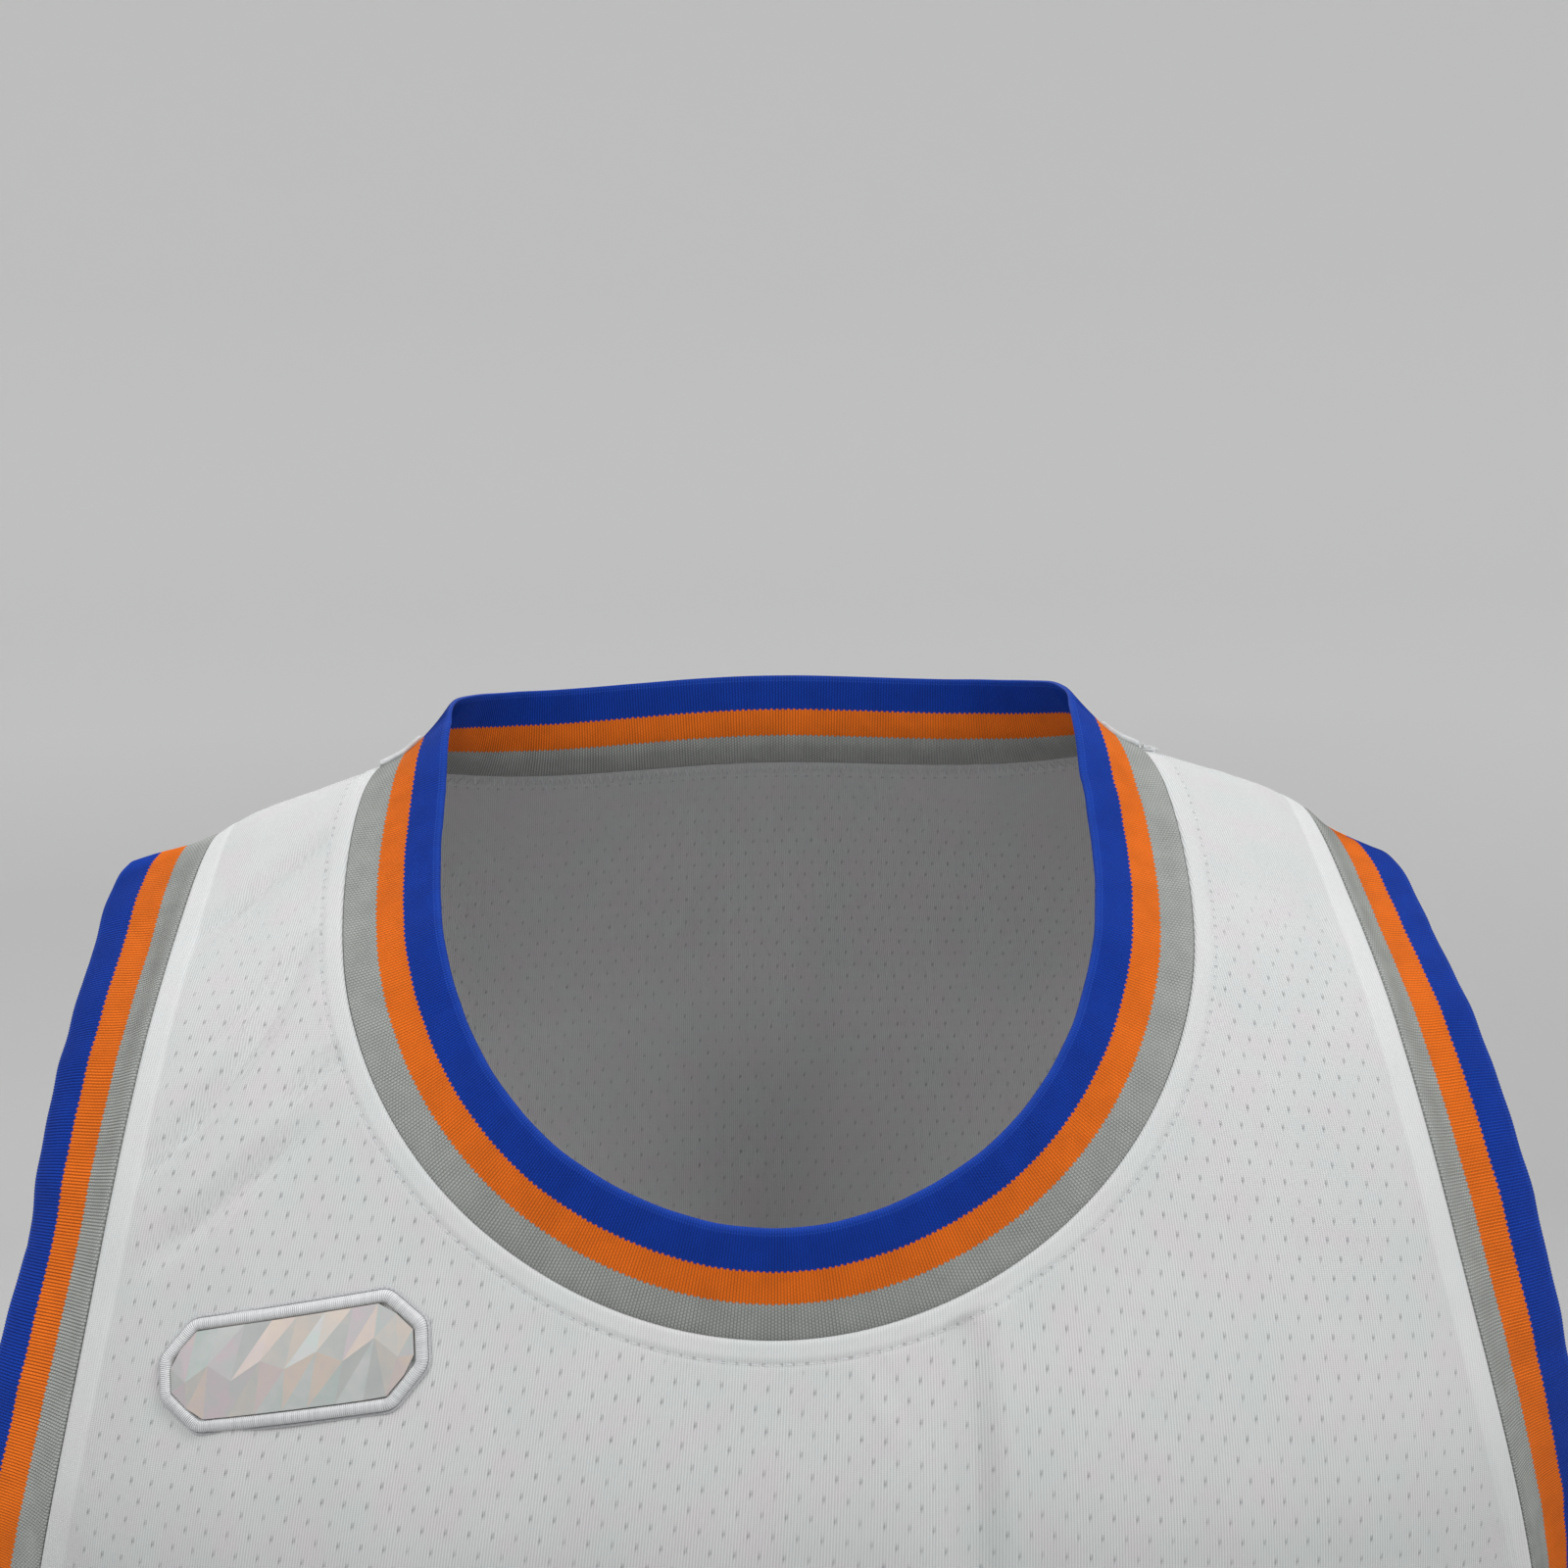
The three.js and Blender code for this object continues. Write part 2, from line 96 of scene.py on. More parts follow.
def grey_of(tone):
    return linear(tone, tone, tone)


floor_drop = 0.86
bowl_rows = [(0, 0), (3.2, 0), (4.4, 0.12), (5.4, 0.6), (6.0, 1.5), (6.2, 2.8), (6.2, 4.4)]
bowl_steps = 96
paper_ramp = (2.3, 4.9)
paper_near, paper_far = 197, 246


def make_sweep():
    points, faces = [], []
    for radius, height in bowl_rows[1:]:
        for step in range(bowl_steps):
            angle = 2 * math.pi * step / bowl_steps
            points.append((radius * math.cos(angle), radius * math.sin(angle), height - floor_drop))
    faces.append(list(range(bowl_steps)))
    for row in range(len(bowl_rows) - 2):
        for step in range(bowl_steps):
            following = (step + 1) % bowl_steps
            low, high = row * bowl_steps, (row + 1) * bowl_steps
            faces.append([low + following, low + step, high + step, high + following])
    mesh = bpy.data.meshes.new("studio_sweep")
    mesh.from_pydata(points, [], faces)
    mesh.shade_smooth()
    sweep = bpy.data.objects.new("studio_sweep", mesh)
    bpy.context.scene.collection.objects.link(sweep)
    paint = bpy.data.materials.new("studio_paper")
    paint.use_nodes = True
    nodes, links = paint.node_tree.nodes, paint.node_tree.links
    shader = nodes["Principled BSDF"]
    shader.inputs["Roughness"].default_value = 0.9
    # the paper is darker near the lamps than on its far rim, so that both look alike
    place, flat = nodes.new("ShaderNodeNewGeometry"), nodes.new("ShaderNodeVectorMath")
    reach, tone, shade = (nodes.new("ShaderNode" + kind) for kind in ("VectorMath", "MapRange", "Mix"))
    flat.operation, reach.operation, shade.data_type = "MULTIPLY", "LENGTH", "RGBA"
    flat.inputs[1].default_value = (1, 1, 0)
    tone.inputs["From Min"].default_value, tone.inputs["From Max"].default_value = paper_ramp
    shade.inputs["A"].default_value = grey_of(paper_near)
    shade.inputs["B"].default_value = grey_of(paper_far)
    links.new(place.outputs["Position"], flat.inputs[0])
    links.new(flat.outputs["Vector"], reach.inputs[0])
    links.new(reach.outputs["Value"], tone.inputs["Value"])
    links.new(tone.outputs["Result"], shade.inputs["Factor"])
    links.new(shade.outputs["Result"], shader.inputs["Base Color"])
    mesh.materials.append(paint)


# name, place, height that it points at, size, power
lamps = [
    ("right_lamp", (1.4, -1.0, 1.9), -0.1, 0.9, 32),
    ("left_lamp", (-1.4, -1.0, 1.9), -0.1, 0.9, 23),
    ("back_lamp", (-0.6, 2.4, 1.6), -0.2, 1.6, 22),
]
world_grey, world_strength = 228, 0.66


def add_lamp(name, place, aim_height, size, power):
    light = bpy.data.lights.new(name, "AREA")
    light.shape = "DISK"
    light.size = size
    light.energy = power
    lamp = bpy.data.objects.new(name, light)
    lamp.location = place
    lamp.rotation_euler = (Vector((0, 0, aim_height)) - Vector(place)).to_track_quat("-Z", "Y").to_euler()
    bpy.context.scene.collection.objects.link(lamp)


make_sweep()
for lamp_row in lamps:
    add_lamp(*lamp_row)
world = bpy.data.worlds.new("pale_room")
bpy.context.scene.world = world
world.use_nodes = True
sky = world.node_tree.nodes["Background"].inputs
sky["Color"].default_value = grey_of(world_grey)
sky["Strength"].default_value = world_strength

# %% [markdown]
# ## The form of the worn shirt
#
# Cloth is easiest to describe where it is cut: every place on it is given by two lengths, across
# from the centre line and down from the shoulder line, with minus signs on the back. The worn
# body is a stack of rounded rings. A ring's outline says where a place lies round the body, and
# its level says how far down. The values are those of the solids, so the cloth lies on them.

# %% The rings and the shoulder line
hem_drop, underarm_drop = 740, 305
strap_inner, strap_outer = 112, 160
front_neck_level, back_neck_level = 177.7, 52
seam_gap = 0.3
ridge_softness = 30
shoulder_slope, shoulder_round, slope_fade = 0.354, 57, 140
tip_fall, tip_width, tip_reach = 4, 16, 60
ring_squareness = 2.84

# drop from the shoulder line, half the width, depth of the front, depth of the back
rings = [
    (0, 251, 0, 0),
    (20, 251, 38, 34),
    (60, 251, 82, 62),
    (120, 246, 116, 88),
    (200, 236, 141, 105),
    (300, 214, 144, 107),
    (400, 206, 137, 100),
    (740, 215, 133, 106),
]


def smooth(x):
    x = np.clip(x, 0, 1)
    return x * x * (3 - 2 * x)


def mix(a, b, s):
    return a + (b - a) * s


def level_of(drop):
    return math.sqrt(drop * (drop + 2 * ridge_softness))


def drop_of(level):
    return np.hypot(level, ridge_softness) - ridge_softness


def curve_through(at, values):
    """A smooth curve through a table's rows that never overshoots a row."""
    at, values = np.array(at, float), np.array(values, float)
    gaps = np.diff(at)
    slopes = np.diff(values) / gaps
    tangents = np.zeros(len(at))
    tangents[0], tangents[-1] = slopes[0], slopes[-1]
    for i in range(1, len(slopes)):
        if slopes[i - 1] * slopes[i] > 0:
            before = 2 * gaps[i] + gaps[i - 1]
            after = gaps[i] + 2 * gaps[i - 1]
            tangents[i] = (before + after) / (before / slopes[i - 1] + after / slopes[i])

    def value(place):
        i = np.clip(np.searchsorted(at, place) - 1, 0, len(gaps) - 1)
        s = (place - at[i]) / gaps[i]
        bend = tangents[i] * s * (1 - s) ** 2 - tangents[i + 1] * s * s * (1 - s)
        return mix(values[i], values[i + 1], s * s * (3 - 2 * s)) + gaps[i] * bend
    return value


hem_level, underarm_level = level_of(hem_drop), level_of(underarm_drop)
ring_levels = [level_of(ring[0]) for ring in rings]
half_at, front_at, back_at = (curve_through(ring_levels, [r[k] for r in rings]) for k in (1, 2, 3))
print("hem at level", round(hem_level, 1), "mm, underarm at", round(underarm_level, 1), "mm")

# %% [markdown]
# A ring is a quarter outline, mirrored. The way along a ring has no formula, so the quarters are
# measured once, at close levels, and stored as tables with evenly spaced steps along the cloth.
# Reading a table is fast, which matters because the cloth has some hundred thousand places.

# %% Tables of the rings
table_levels = np.linspace(0, hem_level + 20, 1200)
table_shares = np.linspace(0, 1, 801)
outline_turns = np.linspace(0, np.pi / 2, 1441)
outline_x = np.sin(outline_turns) ** (2 / ring_squareness)
outline_y = np.clip(np.cos(outline_turns), 0, 1) ** (2 / ring_squareness)


def ring_table(depth_at):
    lengths, xs, ys = [], [], []
    for level in table_levels:
        x = half_at(level) * outline_x
        y = depth_at(level) * outline_y
        run = np.concatenate([[0], np.cumsum(np.hypot(np.diff(x), np.diff(y)))])
        lengths.append(run[-1])
        xs.append(np.interp(table_shares * run[-1], run, x))
        ys.append(np.interp(table_shares * run[-1], run, y))
    return np.array(lengths), np.array(xs), np.array(ys)


tables = {1: ring_table(front_at), -1: ring_table(back_at)}


def side_at(level):
    """Half the cloth's width at a level, from the centre line to the side seam."""
    level = np.asarray(level, float)
    front = np.interp(np.abs(level), table_levels, tables[1][0])
    back = np.interp(np.abs(level), table_levels, tables[-1][0])
    return np.where(level < 0, back, front)


def on_ring(face, along_share, level):
    """x and y at a share of the quarter ring's length, read between four rows of the table."""
    row = np.clip(np.abs(level) / (table_levels[1] - table_levels[0]), 0, len(table_levels) - 1.001)
    column = np.clip(along_share * (len(table_shares) - 1), 0, len(table_shares) - 1.001)
    i, j = row.astype(int), column.astype(int)
    s, t = row - i, column - j
    found = []
    for table in tables[face][1:]:
        top = mix(table[i, j], table[i, j + 1], t)
        below = mix(table[i + 1, j], table[i + 1, j + 1], t)
        found.append(mix(top, below, s))
    return found


def slope_fall(x, level):
    line = np.hypot(x, shoulder_round) - shoulder_round
    at_tip = smooth((x - strap_outer + tip_width) / (1.6 * tip_width))
    near_line = 1 - smooth(level / tip_reach)
    return shoulder_slope * line / (1 + (level / slope_fade) ** 2) + tip_fall * at_tip * near_line


def body_point(across, level):
    """The worn shape without folds. Past the side seam it carries on onto the other panel."""
    length = side_at(level)
    reach = np.abs(across)
    past = reach > length
    share = np.where(past, 2 * length - reach, reach) / length
    x_front, y_front = on_ring(1, share, level)
    x_back, y_back = on_ring(-1, share, level)
    behind = level < 0
    x = np.where(behind, x_back, x_front)
    y = np.where(behind, y_back, -y_front) * np.where(past, -1, 1)
    z = -drop_of(level) - slope_fall(x, np.abs(level))
    return np.stack([np.sign(across) * x, y, z], axis=-1)


def unit(vectors):
    return vectors / np.linalg.norm(vectors, axis=-1, keepdims=True)


normal_reach = 3


def body_normal(across, level):
    right = body_point(across + normal_reach, level) - body_point(across - normal_reach, level)
    down = body_point(across, level + normal_reach) - body_point(across, level - normal_reach)
    return unit(np.cross(down, right))


print("half the chest's cloth at the underarm:", round(float(side_at(underarm_level)), 1), "mm")

# %% [markdown]
# ## Folds
#
# Worn mesh knit hangs from the straps and the chest in long, soft, uneven folds. The broad ones
# belong to the form, and the solids have them too. The fine ones are creases of three millimetres
# or less: drag lines over the straps, pulls from the underarm, and ripples on the chest. They
# could come from a cloth simulation, but listed rows put them where they belong.

# %% Broad folds and fine creases
# from place, to place, sideways bow, width, height, and whether it runs out at the hem
broad_folds = [
    ((32, 186), (44, 430), 3, 12, 3.2, False),
    ((50, 184), (66, 420), 4, 11, -2.6, False),
    ((-96, 300), (-112, hem_level), 6, 24, 9, True),
    ((-170, 330), (-176, hem_level), -8, 21, -7, True),
    ((-40, 360), (-58, hem_level), -7, 22, -8, True),
    ((6, 330), (-6, hem_level), 5, 23, 8, True),
    ((62, 400), (58, hem_level), 4, 20, -7, True),
    ((112, 290), (118, hem_level), -6, 25, 10, True),
    ((172, 370), (184, hem_level), 5, 20, -7, True),
    ((-226, 320), (-128, 450), 8, 12, 4, False),
    ((224, 325), (140, 435), -9, 13, 4.5, False),
    ((-90, -240), (-104, -hem_level), -6, 24, 9, True),
    ((-150, -330), (-158, -hem_level), 7, 20, -7, True),
    ((-30, -300), (-44, -hem_level), 6, 22, -8, True),
    ((18, -360), (12, -hem_level), -5, 21, 7, True),
    ((66, -310), (70, -hem_level), 6, 21, -8, True),
    ((104, -230), (122, -hem_level), 5, 24, 9, True),
    ((160, -350), (172, -hem_level), -6, 19, -6, True),
    ((210, -320), (122, -430), 7, 12, 4, False),
    ((-208, -325), (-134, -440), -8, 13, 4.5, False),
]
# side of the body, the level where it starts, width and height, on both panels alike
side_folds = [(-1, 350, 24, 9), (1, 335, 26, 10)]
fold_free = 34
# the share of a fold's length over which it rises, when it ends in the cloth or runs out at the hem
end_fade, hem_fade, side_fade = 0.4, 0.6, 0.7

# from place, to place, bow, width, height
fine_creases = [
    ((-116, 24), (-164, 58), 0, 3.2, -2.0),
    ((-118, 58), (-160, 94), 0, 2.8, -1.2),
    ((-122, 56), (-170, 122), 8, 3.6, -2.4),
    ((-112, 106), (-172, 150), 0, 3.8, -2.0),
    ((-136, 94), (-170, 124), 0, 2.8, -1.1),
    ((-106, 90), (-130, 108), 0, 2.6, -1.0),
    ((148, 40), (157, 72), 0, 2.4, -0.6),
    ((124, 16), (150, 66), -3, 3.6, 0.22),
    ((120, 40), (146, 104), -4, 4.2, -0.2),
    ((43, 130), (45, 350), 1, 4.2, -3.0),
    ((52, 124), (54, 345), 1, 5.0, 2.2),
    ((26, 150), (18, 320), 2, 8.0, 0.5),
    ((14, 178), (28, 206), 0, 1.8, 0.35),
    ((20, 176), (33, 204), 0, 1.6, -0.3),
    ((-134, 120), (-150, 250), 5, 7, 0.7),
    ((132, 124), (152, 262), -6, 8, 0.7),
    ((-104, 150), (-92, 300), -6, 9, 0.55),
    ((98, 150), (112, 320), 6, 9, 0.6),
    ((-60, 196), (-66, 360), -4, 8, 0.6),
    ((-20, 190), (-14, 330), 3, 8, 0.5),
    ((-206, 262), (-120, 330), 9, 7, 1.2),
    ((-214, 300), (-140, 372), 10, 8, -1.1),
    ((204, 258), (124, 318), -8, 7, 1.1),
    ((212, 306), (138, 380), -9, 8, -1.0),
    ((-140, -30), (-152, -96), 3, 3.2, 0.30),
    ((138, -28), (150, -100), -3, 3.4, 0.28),
    ((-96, -70), (-120, -210), 6, 9, 0.7),
    ((92, -74), (116, -220), -6, 9, 0.7),
    ((-24, -64), (-36, -230), 5, 8, 0.6),
    ((30, -62), (26, -250), -4, 8, 0.55),
    ((-196, -262), (-118, -326), 8, 7, 1.1),
    ((198, -268), (120, -336), -8, 8, 1.1),
]


def ridge_height(across, level, start, end, bow, width, height, runs_out):
    s = (level - start[1]) / (end[1] - start[1])
    part = np.clip(s, 0, 1)
    middle = mix(start[0], end[0], part) + bow * 4 * part * (1 - part)
    fade = smooth(s / hem_fade) if runs_out else smooth(s / end_fade) * smooth((1 - s) / end_fade)
    return height * fade * np.exp(-((across - middle) / width) ** 2)


def fold_height(across, level):
    side = np.sign(level)
    from_seam = side_at(level) - np.abs(across)
    height = np.zeros_like(across)
    for start, end, bow, width, high, runs_out in broad_folds:
        ridge = ridge_height(across, level, start, end, bow, width, high, runs_out)
        height += np.where(np.sign(end[1]) == side, ridge, 0)
    height *= smooth(from_seam / fold_free)
    for sign, start, width, high in side_folds:
        fade = smooth((np.abs(level) - start) / (hem_level - start) / side_fade)
        ridge = high * fade * np.exp(-(from_seam / width) ** 2)
        height += np.where(np.sign(across) == sign, ridge, 0)
    return height


def crease_height(across, level):
    height = np.zeros_like(across)
    for start, end, bow, width, high in fine_creases:
        # a crease leans with its way down, so its width is taken square to it
        lean = math.hypot(end[0] - start[0], end[1] - start[1]) / abs(end[1] - start[1])
        ridge = ridge_height(across, level, start, end, bow, width * lean, high, False)
        height += np.where(np.sign(end[1]) == np.sign(level), ridge, 0)
    return height


def cloth_at(across, level):
    """The middle of the cloth, before it is lifted to the frame's origin, and the way out of it."""
    normal = body_normal(across, level)
    return body_point(across, level) + normal * fold_height(across, level)[..., None], normal


panel_wall = 2
strap_middle = cloth_at(np.array([(strap_inner + strap_outer) / 2]), np.array([0.0]))[0][0]
lift = np.array([0, 0, panel_wall / 2 - strap_middle[2]])
print("the form is lifted by", round(lift[2], 3), "mm")

# %% [markdown]
# ## Seams
#
# The neck and armhole edges are smooth curves on the cut cloth. Everything sewn follows them:
# the turned strip beside the neck, the stitches, the bands. So each seam is kept as a closed run
# of close points with the way along it, and a place on the cloth can ask how far off it lies.

# %% The edge curves
front_neck = [(strap_inner, 0), (134.6, 112.6), (61, front_neck_level), (0, front_neck_level)]
back_neck = [(strap_inner, 0), (106, -30), (64, -back_neck_level), (0, -back_neck_level)]
front_armhole = [(strap_outer, 0), (168, 112), (188, underarm_level)]
front_armhole.append((float(side_at(underarm_level)) - seam_gap / 2, underarm_level))
back_armhole = [(strap_outer, 0), (153, -80), (178, -underarm_level)]
back_armhole.append((float(side_at(-underarm_level)) - seam_gap / 2, -underarm_level))


def spaced_points(handles, steps, crowding=0.0):
    """Places spaced along a cubic curve, closer together towards its ends by crowding."""
    s = np.linspace(0, 1, 1601)[:, None]
    a, b, c, d = (np.array(handle, float) for handle in handles)
    fine = a * (1 - s) ** 3 + b * 3 * s * (1 - s) ** 2 + c * 3 * s * s * (1 - s) + d * s ** 3
    run = np.concatenate([[0], np.cumsum(np.hypot(*np.diff(fine, axis=0).T))])
    share = np.linspace(0, 1, steps + 1)
    target = run[-1] * (share - crowding * np.sin(2 * np.pi * share))
    return np.stack([np.interp(target, run, fine[:, k]) for k in (0, 1)], axis=1)


def mirrored(places):
    return places * np.array([-1, 1])


def neck_run_places(steps):
    """From the right shoulder round the front to the left, then back behind the neck."""
    front, back = spaced_points(front_neck, steps), spaced_points(back_neck, steps)
    parts = [mirrored(front)[:-1], front[::-1][:-1], back[:-1], mirrored(back)[::-1][:-1]]
    return np.concatenate(parts)


def armhole_run_places(sign, steps):
    """From the shoulder down the front, under the arm and up the back."""
    front, back = spaced_points(front_armhole, steps), spaced_points(back_armhole, steps)
    # under the arm one point has two names, since the level changes sign at the side seam
    under = [[side_at(face * underarm_level), face * underarm_level] for face in (1, -1)]
    run = np.concatenate([front[:-1], under, back[::-1][1:-1]])
    return run if sign > 0 else mirrored(run)[::-1]


def even_loop(places, count):
    """The same loop with count places, evenly spaced along the cloth."""
    closed = np.concatenate([places, places[:1]])
    points = cloth_at(closed[:, 0], closed[:, 1])[0]
    run = np.concatenate([[0], np.cumsum(np.linalg.norm(np.diff(points, axis=0), axis=1))])
    target = np.linspace(0, run[-1], count + 1)[:-1]
    return np.stack([np.interp(target, run, closed[:, k]) for k in (0, 1)], axis=1), run[-1]


def way_along(points, near=1):
    """The way along a closed run at each point, from the points before and after it."""
    return unit(np.roll(points, -near, axis=0) - np.roll(points, near, axis=0))


rough_step = 24
measure_reach, measure_batch = 60, 1500


class Seam:
    """A closed run of places with its points, the way along, the way out, and the way off the cloth."""

    def __init__(self, places, step):
        length = even_loop(places, 10)[1]
        self.count = 4 * round(length / step / 4)
        self.places, self.length = even_loop(places, self.count)
        self.points, self.normals = cloth_at(self.places[:, 0], self.places[:, 1])
        self.points = self.points + lift
        self.along = way_along(self.points, round(2 / step))
        self.away = unit(np.cross(self.normals, self.along))
        self.run = np.arange(self.count) * self.length / self.count

    def measure(self, points):
        """How far points lie from the seam, and where along it. Far points get only a rough value."""
        rough = self.points[::rough_step]
        gaps = [np.linalg.norm(points - spot, axis=1) for spot in rough]
        distance = np.min(gaps, axis=0)
        run = np.argmin(gaps, axis=0) * rough_step * self.length / self.count
        near = np.nonzero(distance < measure_reach)[0]
        for part in np.array_split(near, max(1, len(near) // measure_batch)):
            offset = points[part][:, None, :] - self.points[None]
            square = np.einsum("ijk,ijk->ij", offset, offset)
            best = np.argmin(square, axis=1)
            gap = points[part] - self.points[best]
            slip = np.einsum("ij,ij->i", gap, self.along[best])
            distance[part] = np.sqrt(np.maximum(np.einsum("ij,ij->i", gap, gap) - slip ** 2, 0))
            run[part] = self.run[best] + slip
        return distance, run


seam_step = 0.75
run_steps, fine_run_steps = 300, 900
neck_seam = Seam(neck_run_places(run_steps), seam_step)
arm_seams = {sign: Seam(armhole_run_places(sign, run_steps), seam_step) for sign in (1, -1)}
print("neck seam", round(neck_seam.length), "mm, armhole seams", round(arm_seams[1].length), "mm")

# %% [markdown]
# ## Cutting the panels into a grid
#
# A panel has four edges: the strap tops with the neck, the two armholes with the side seams, and
# the hem. A grid stretched between them crosses the neck at a slant, and such cells shade badly.
# So the inner places are moved until the lines cross about squarely, first in a coarse grid and
# then in finer ones. The last grid is read at closer steps beside the seams, where the detail is.

# %% Fill a panel with places
coarse_steps = {"strap": 4, "neck": 28, "armhole": 15, "side": 16}
relax_passes = {1: 90, 2: 40, 4: 30}


def panel_edges(face, finer):
    shoulder = face * seam_gap / 2
    neck = spaced_points(front_neck if face > 0 else back_neck, coarse_steps["neck"] // 2 * finer)
    arm_handles = front_armhole if face > 0 else back_armhole
    arm = spaced_points(arm_handles, coarse_steps["armhole"] * finer, 0.08)
    neck[0, 1] = arm[0, 1] = shoulder
    levels = np.linspace(face * underarm_level, face * hem_level, coarse_steps["side"] * finer + 1)
    side = np.stack([side_at(levels) - seam_gap / 2, levels], axis=1)
    strap = np.linspace(strap_outer, strap_inner, coarse_steps["strap"] * finer + 1)
    strap = np.stack([strap, np.full(len(strap), shoulder)], axis=1)
    left = np.concatenate([strap[:-1], neck])
    return np.concatenate([mirrored(left), left[::-1][1:]]), np.concatenate([arm, side[1:]])


def set_edges(grid, top, side):
    grid[:, 0] = top
    grid[0] = mirrored(side)
    grid[-1] = side
    u = np.linspace(-1, 1, len(top))
    grid[:, -1, 0] = u * side[-1, 0]
    grid[:, -1, 1] = side[-1, 1]


def relax(grid, passes):
    for _ in range(passes):
        left, right = grid[:-2, 1:-1], grid[2:, 1:-1]
        above, below = grid[1:-1, :-2], grid[1:-1, 2:]
        along, down = (right - left) / 2, (below - above) / 2
        down_size = (down ** 2).sum(-1, keepdims=True)
        along_size = (along ** 2).sum(-1, keepdims=True)
        skew = (along * down).sum(-1, keepdims=True)
        twist = (grid[2:, 2:] - grid[2:, :-2] - grid[:-2, 2:] + grid[:-2, :-2]) / 2
        pull = down_size * (left + right) + along_size * (above + below)
        grid[1:-1, 1:-1] = (pull - skew * twist) / (2 * (down_size + along_size))


def first_grid(face):
    top, side = panel_edges(face, 1)
    across, down = len(top) - 1, len(side) - 1
    u = np.linspace(0, 1, across + 1)[:, None]
    v = np.linspace(0, 1, down + 1)[None]
    share = side[:, 1][None] / side[-1, 1]
    extra = top[:, 0][:, None] - mix(-strap_outer, strap_outer, u)
    level = side[:, 1][None] + (top[:, 1] - side[0, 1])[:, None] * (1 - share)
    places = mix(-side[:, 0][None], side[:, 0][None], u) + extra * (1 - v) ** 2
    return np.stack([places, level], axis=-1)


def halved(grid):
    """The same grid with a new line half way between each two."""
    finer = np.zeros((2 * grid.shape[0] - 1, 2 * grid.shape[1] - 1, 2))
    finer[::2, ::2] = grid
    finer[1::2, ::2] = (grid[1:] + grid[:-1]) / 2
    finer[:, 1::2] = (finer[:, 2::2] + finer[:, :-1:2]) / 2
    return finer


def panel_grid(face):
    grid = first_grid(face)
    for finer, passes in relax_passes.items():
        if finer > 1:
            grid = halved(grid)
        set_edges(grid, *panel_edges(face, finer))
        relax(grid, passes)
    return grid


def steps_between(counts):
    """Positions along a side of the coarse grid, with its own number of steps in each cell."""
    parts = [np.arange(count) / count + cell for cell, count in enumerate(counts)]
    return np.append(np.concatenate(parts), len(counts))


strap_counts = [16, 10, 10, 14]
column_steps = steps_between(strap_counts + [8] * coarse_steps["neck"] + strap_counts[::-1])
row_steps = steps_between([16, 8, 8, 8] + [7] * 11 + [5] * 15 + [7])


def read_grid(grid, columns, rows):
    finer = max(relax_passes)
    x = np.clip(columns * finer, 0, grid.shape[0] - 1.0001)
    y = np.clip(rows * finer, 0, grid.shape[1] - 1.0001)
    i, j = x.astype(int)[:, None], y.astype(int)[None]
    s, t = (x[:, None] - i)[..., None], (y[None] - j)[..., None]
    return mix(mix(grid[i, j], grid[i + 1, j], s), mix(grid[i, j + 1], grid[i + 1, j + 1], s), t)


print("a panel has", len(column_steps), "columns and", len(row_steps), "rows of places")

# %% [markdown]
# ## The skin of the cloth
#
# Beside the neck the cloth is turned under and stitched down 6 mm from the seam, so a smooth
# padded strip stands a little proud and ends in the groove of the stitching. The armholes have a
# flatter strip, and the hem is turned up and stitched twice. Thread pulls cloth together, so
# small puckers of uneven size cross each row of stitches.

# %% Relief beside the seams
neck_strip, arm_strip, hem_strip = 6.0, 7.0, 20.0
hem_rows = (hem_strip, hem_strip - 6)
hem_thick, hem_groove = 0.45, 0.25
# width, height and depth of the stitched groove
neck_turned, arm_turned = (neck_strip, 0.34, 0.16), (arm_strip, 0.16, 0.08)
uneven_lengths = (7.3, 11.9, 19.7, 31.3)


def uneven(run, seed):
    """A gentle, never quite repeating wave along a seam, about -1 to 1."""
    draw = np.random.default_rng(seed)
    waves = (np.sin(2 * np.pi * run / length + draw.uniform(0, 6.28)) for length in uneven_lengths)
    return sum(waves) / 2.2


def strip_relief(distance, width, high, groove):
    """A raised strip that starts at the seam and ends in the groove of its stitches."""
    raised = high * smooth(distance / 1.1) * (1 - smooth((distance - width + 1.5) / 1.3))
    stitched = -groove * np.exp(-((distance - width) / 0.55) ** 2)
    edge = -0.35 * (1 - smooth(distance / 0.7))
    return raised + stitched + edge


def pucker(distance, run, high, seed, reach=3.4):
    """Uneven small waves along a row of stitches, fading with the distance from it."""
    return high * np.exp(-(distance / reach) ** 2) * uneven(run, seed)


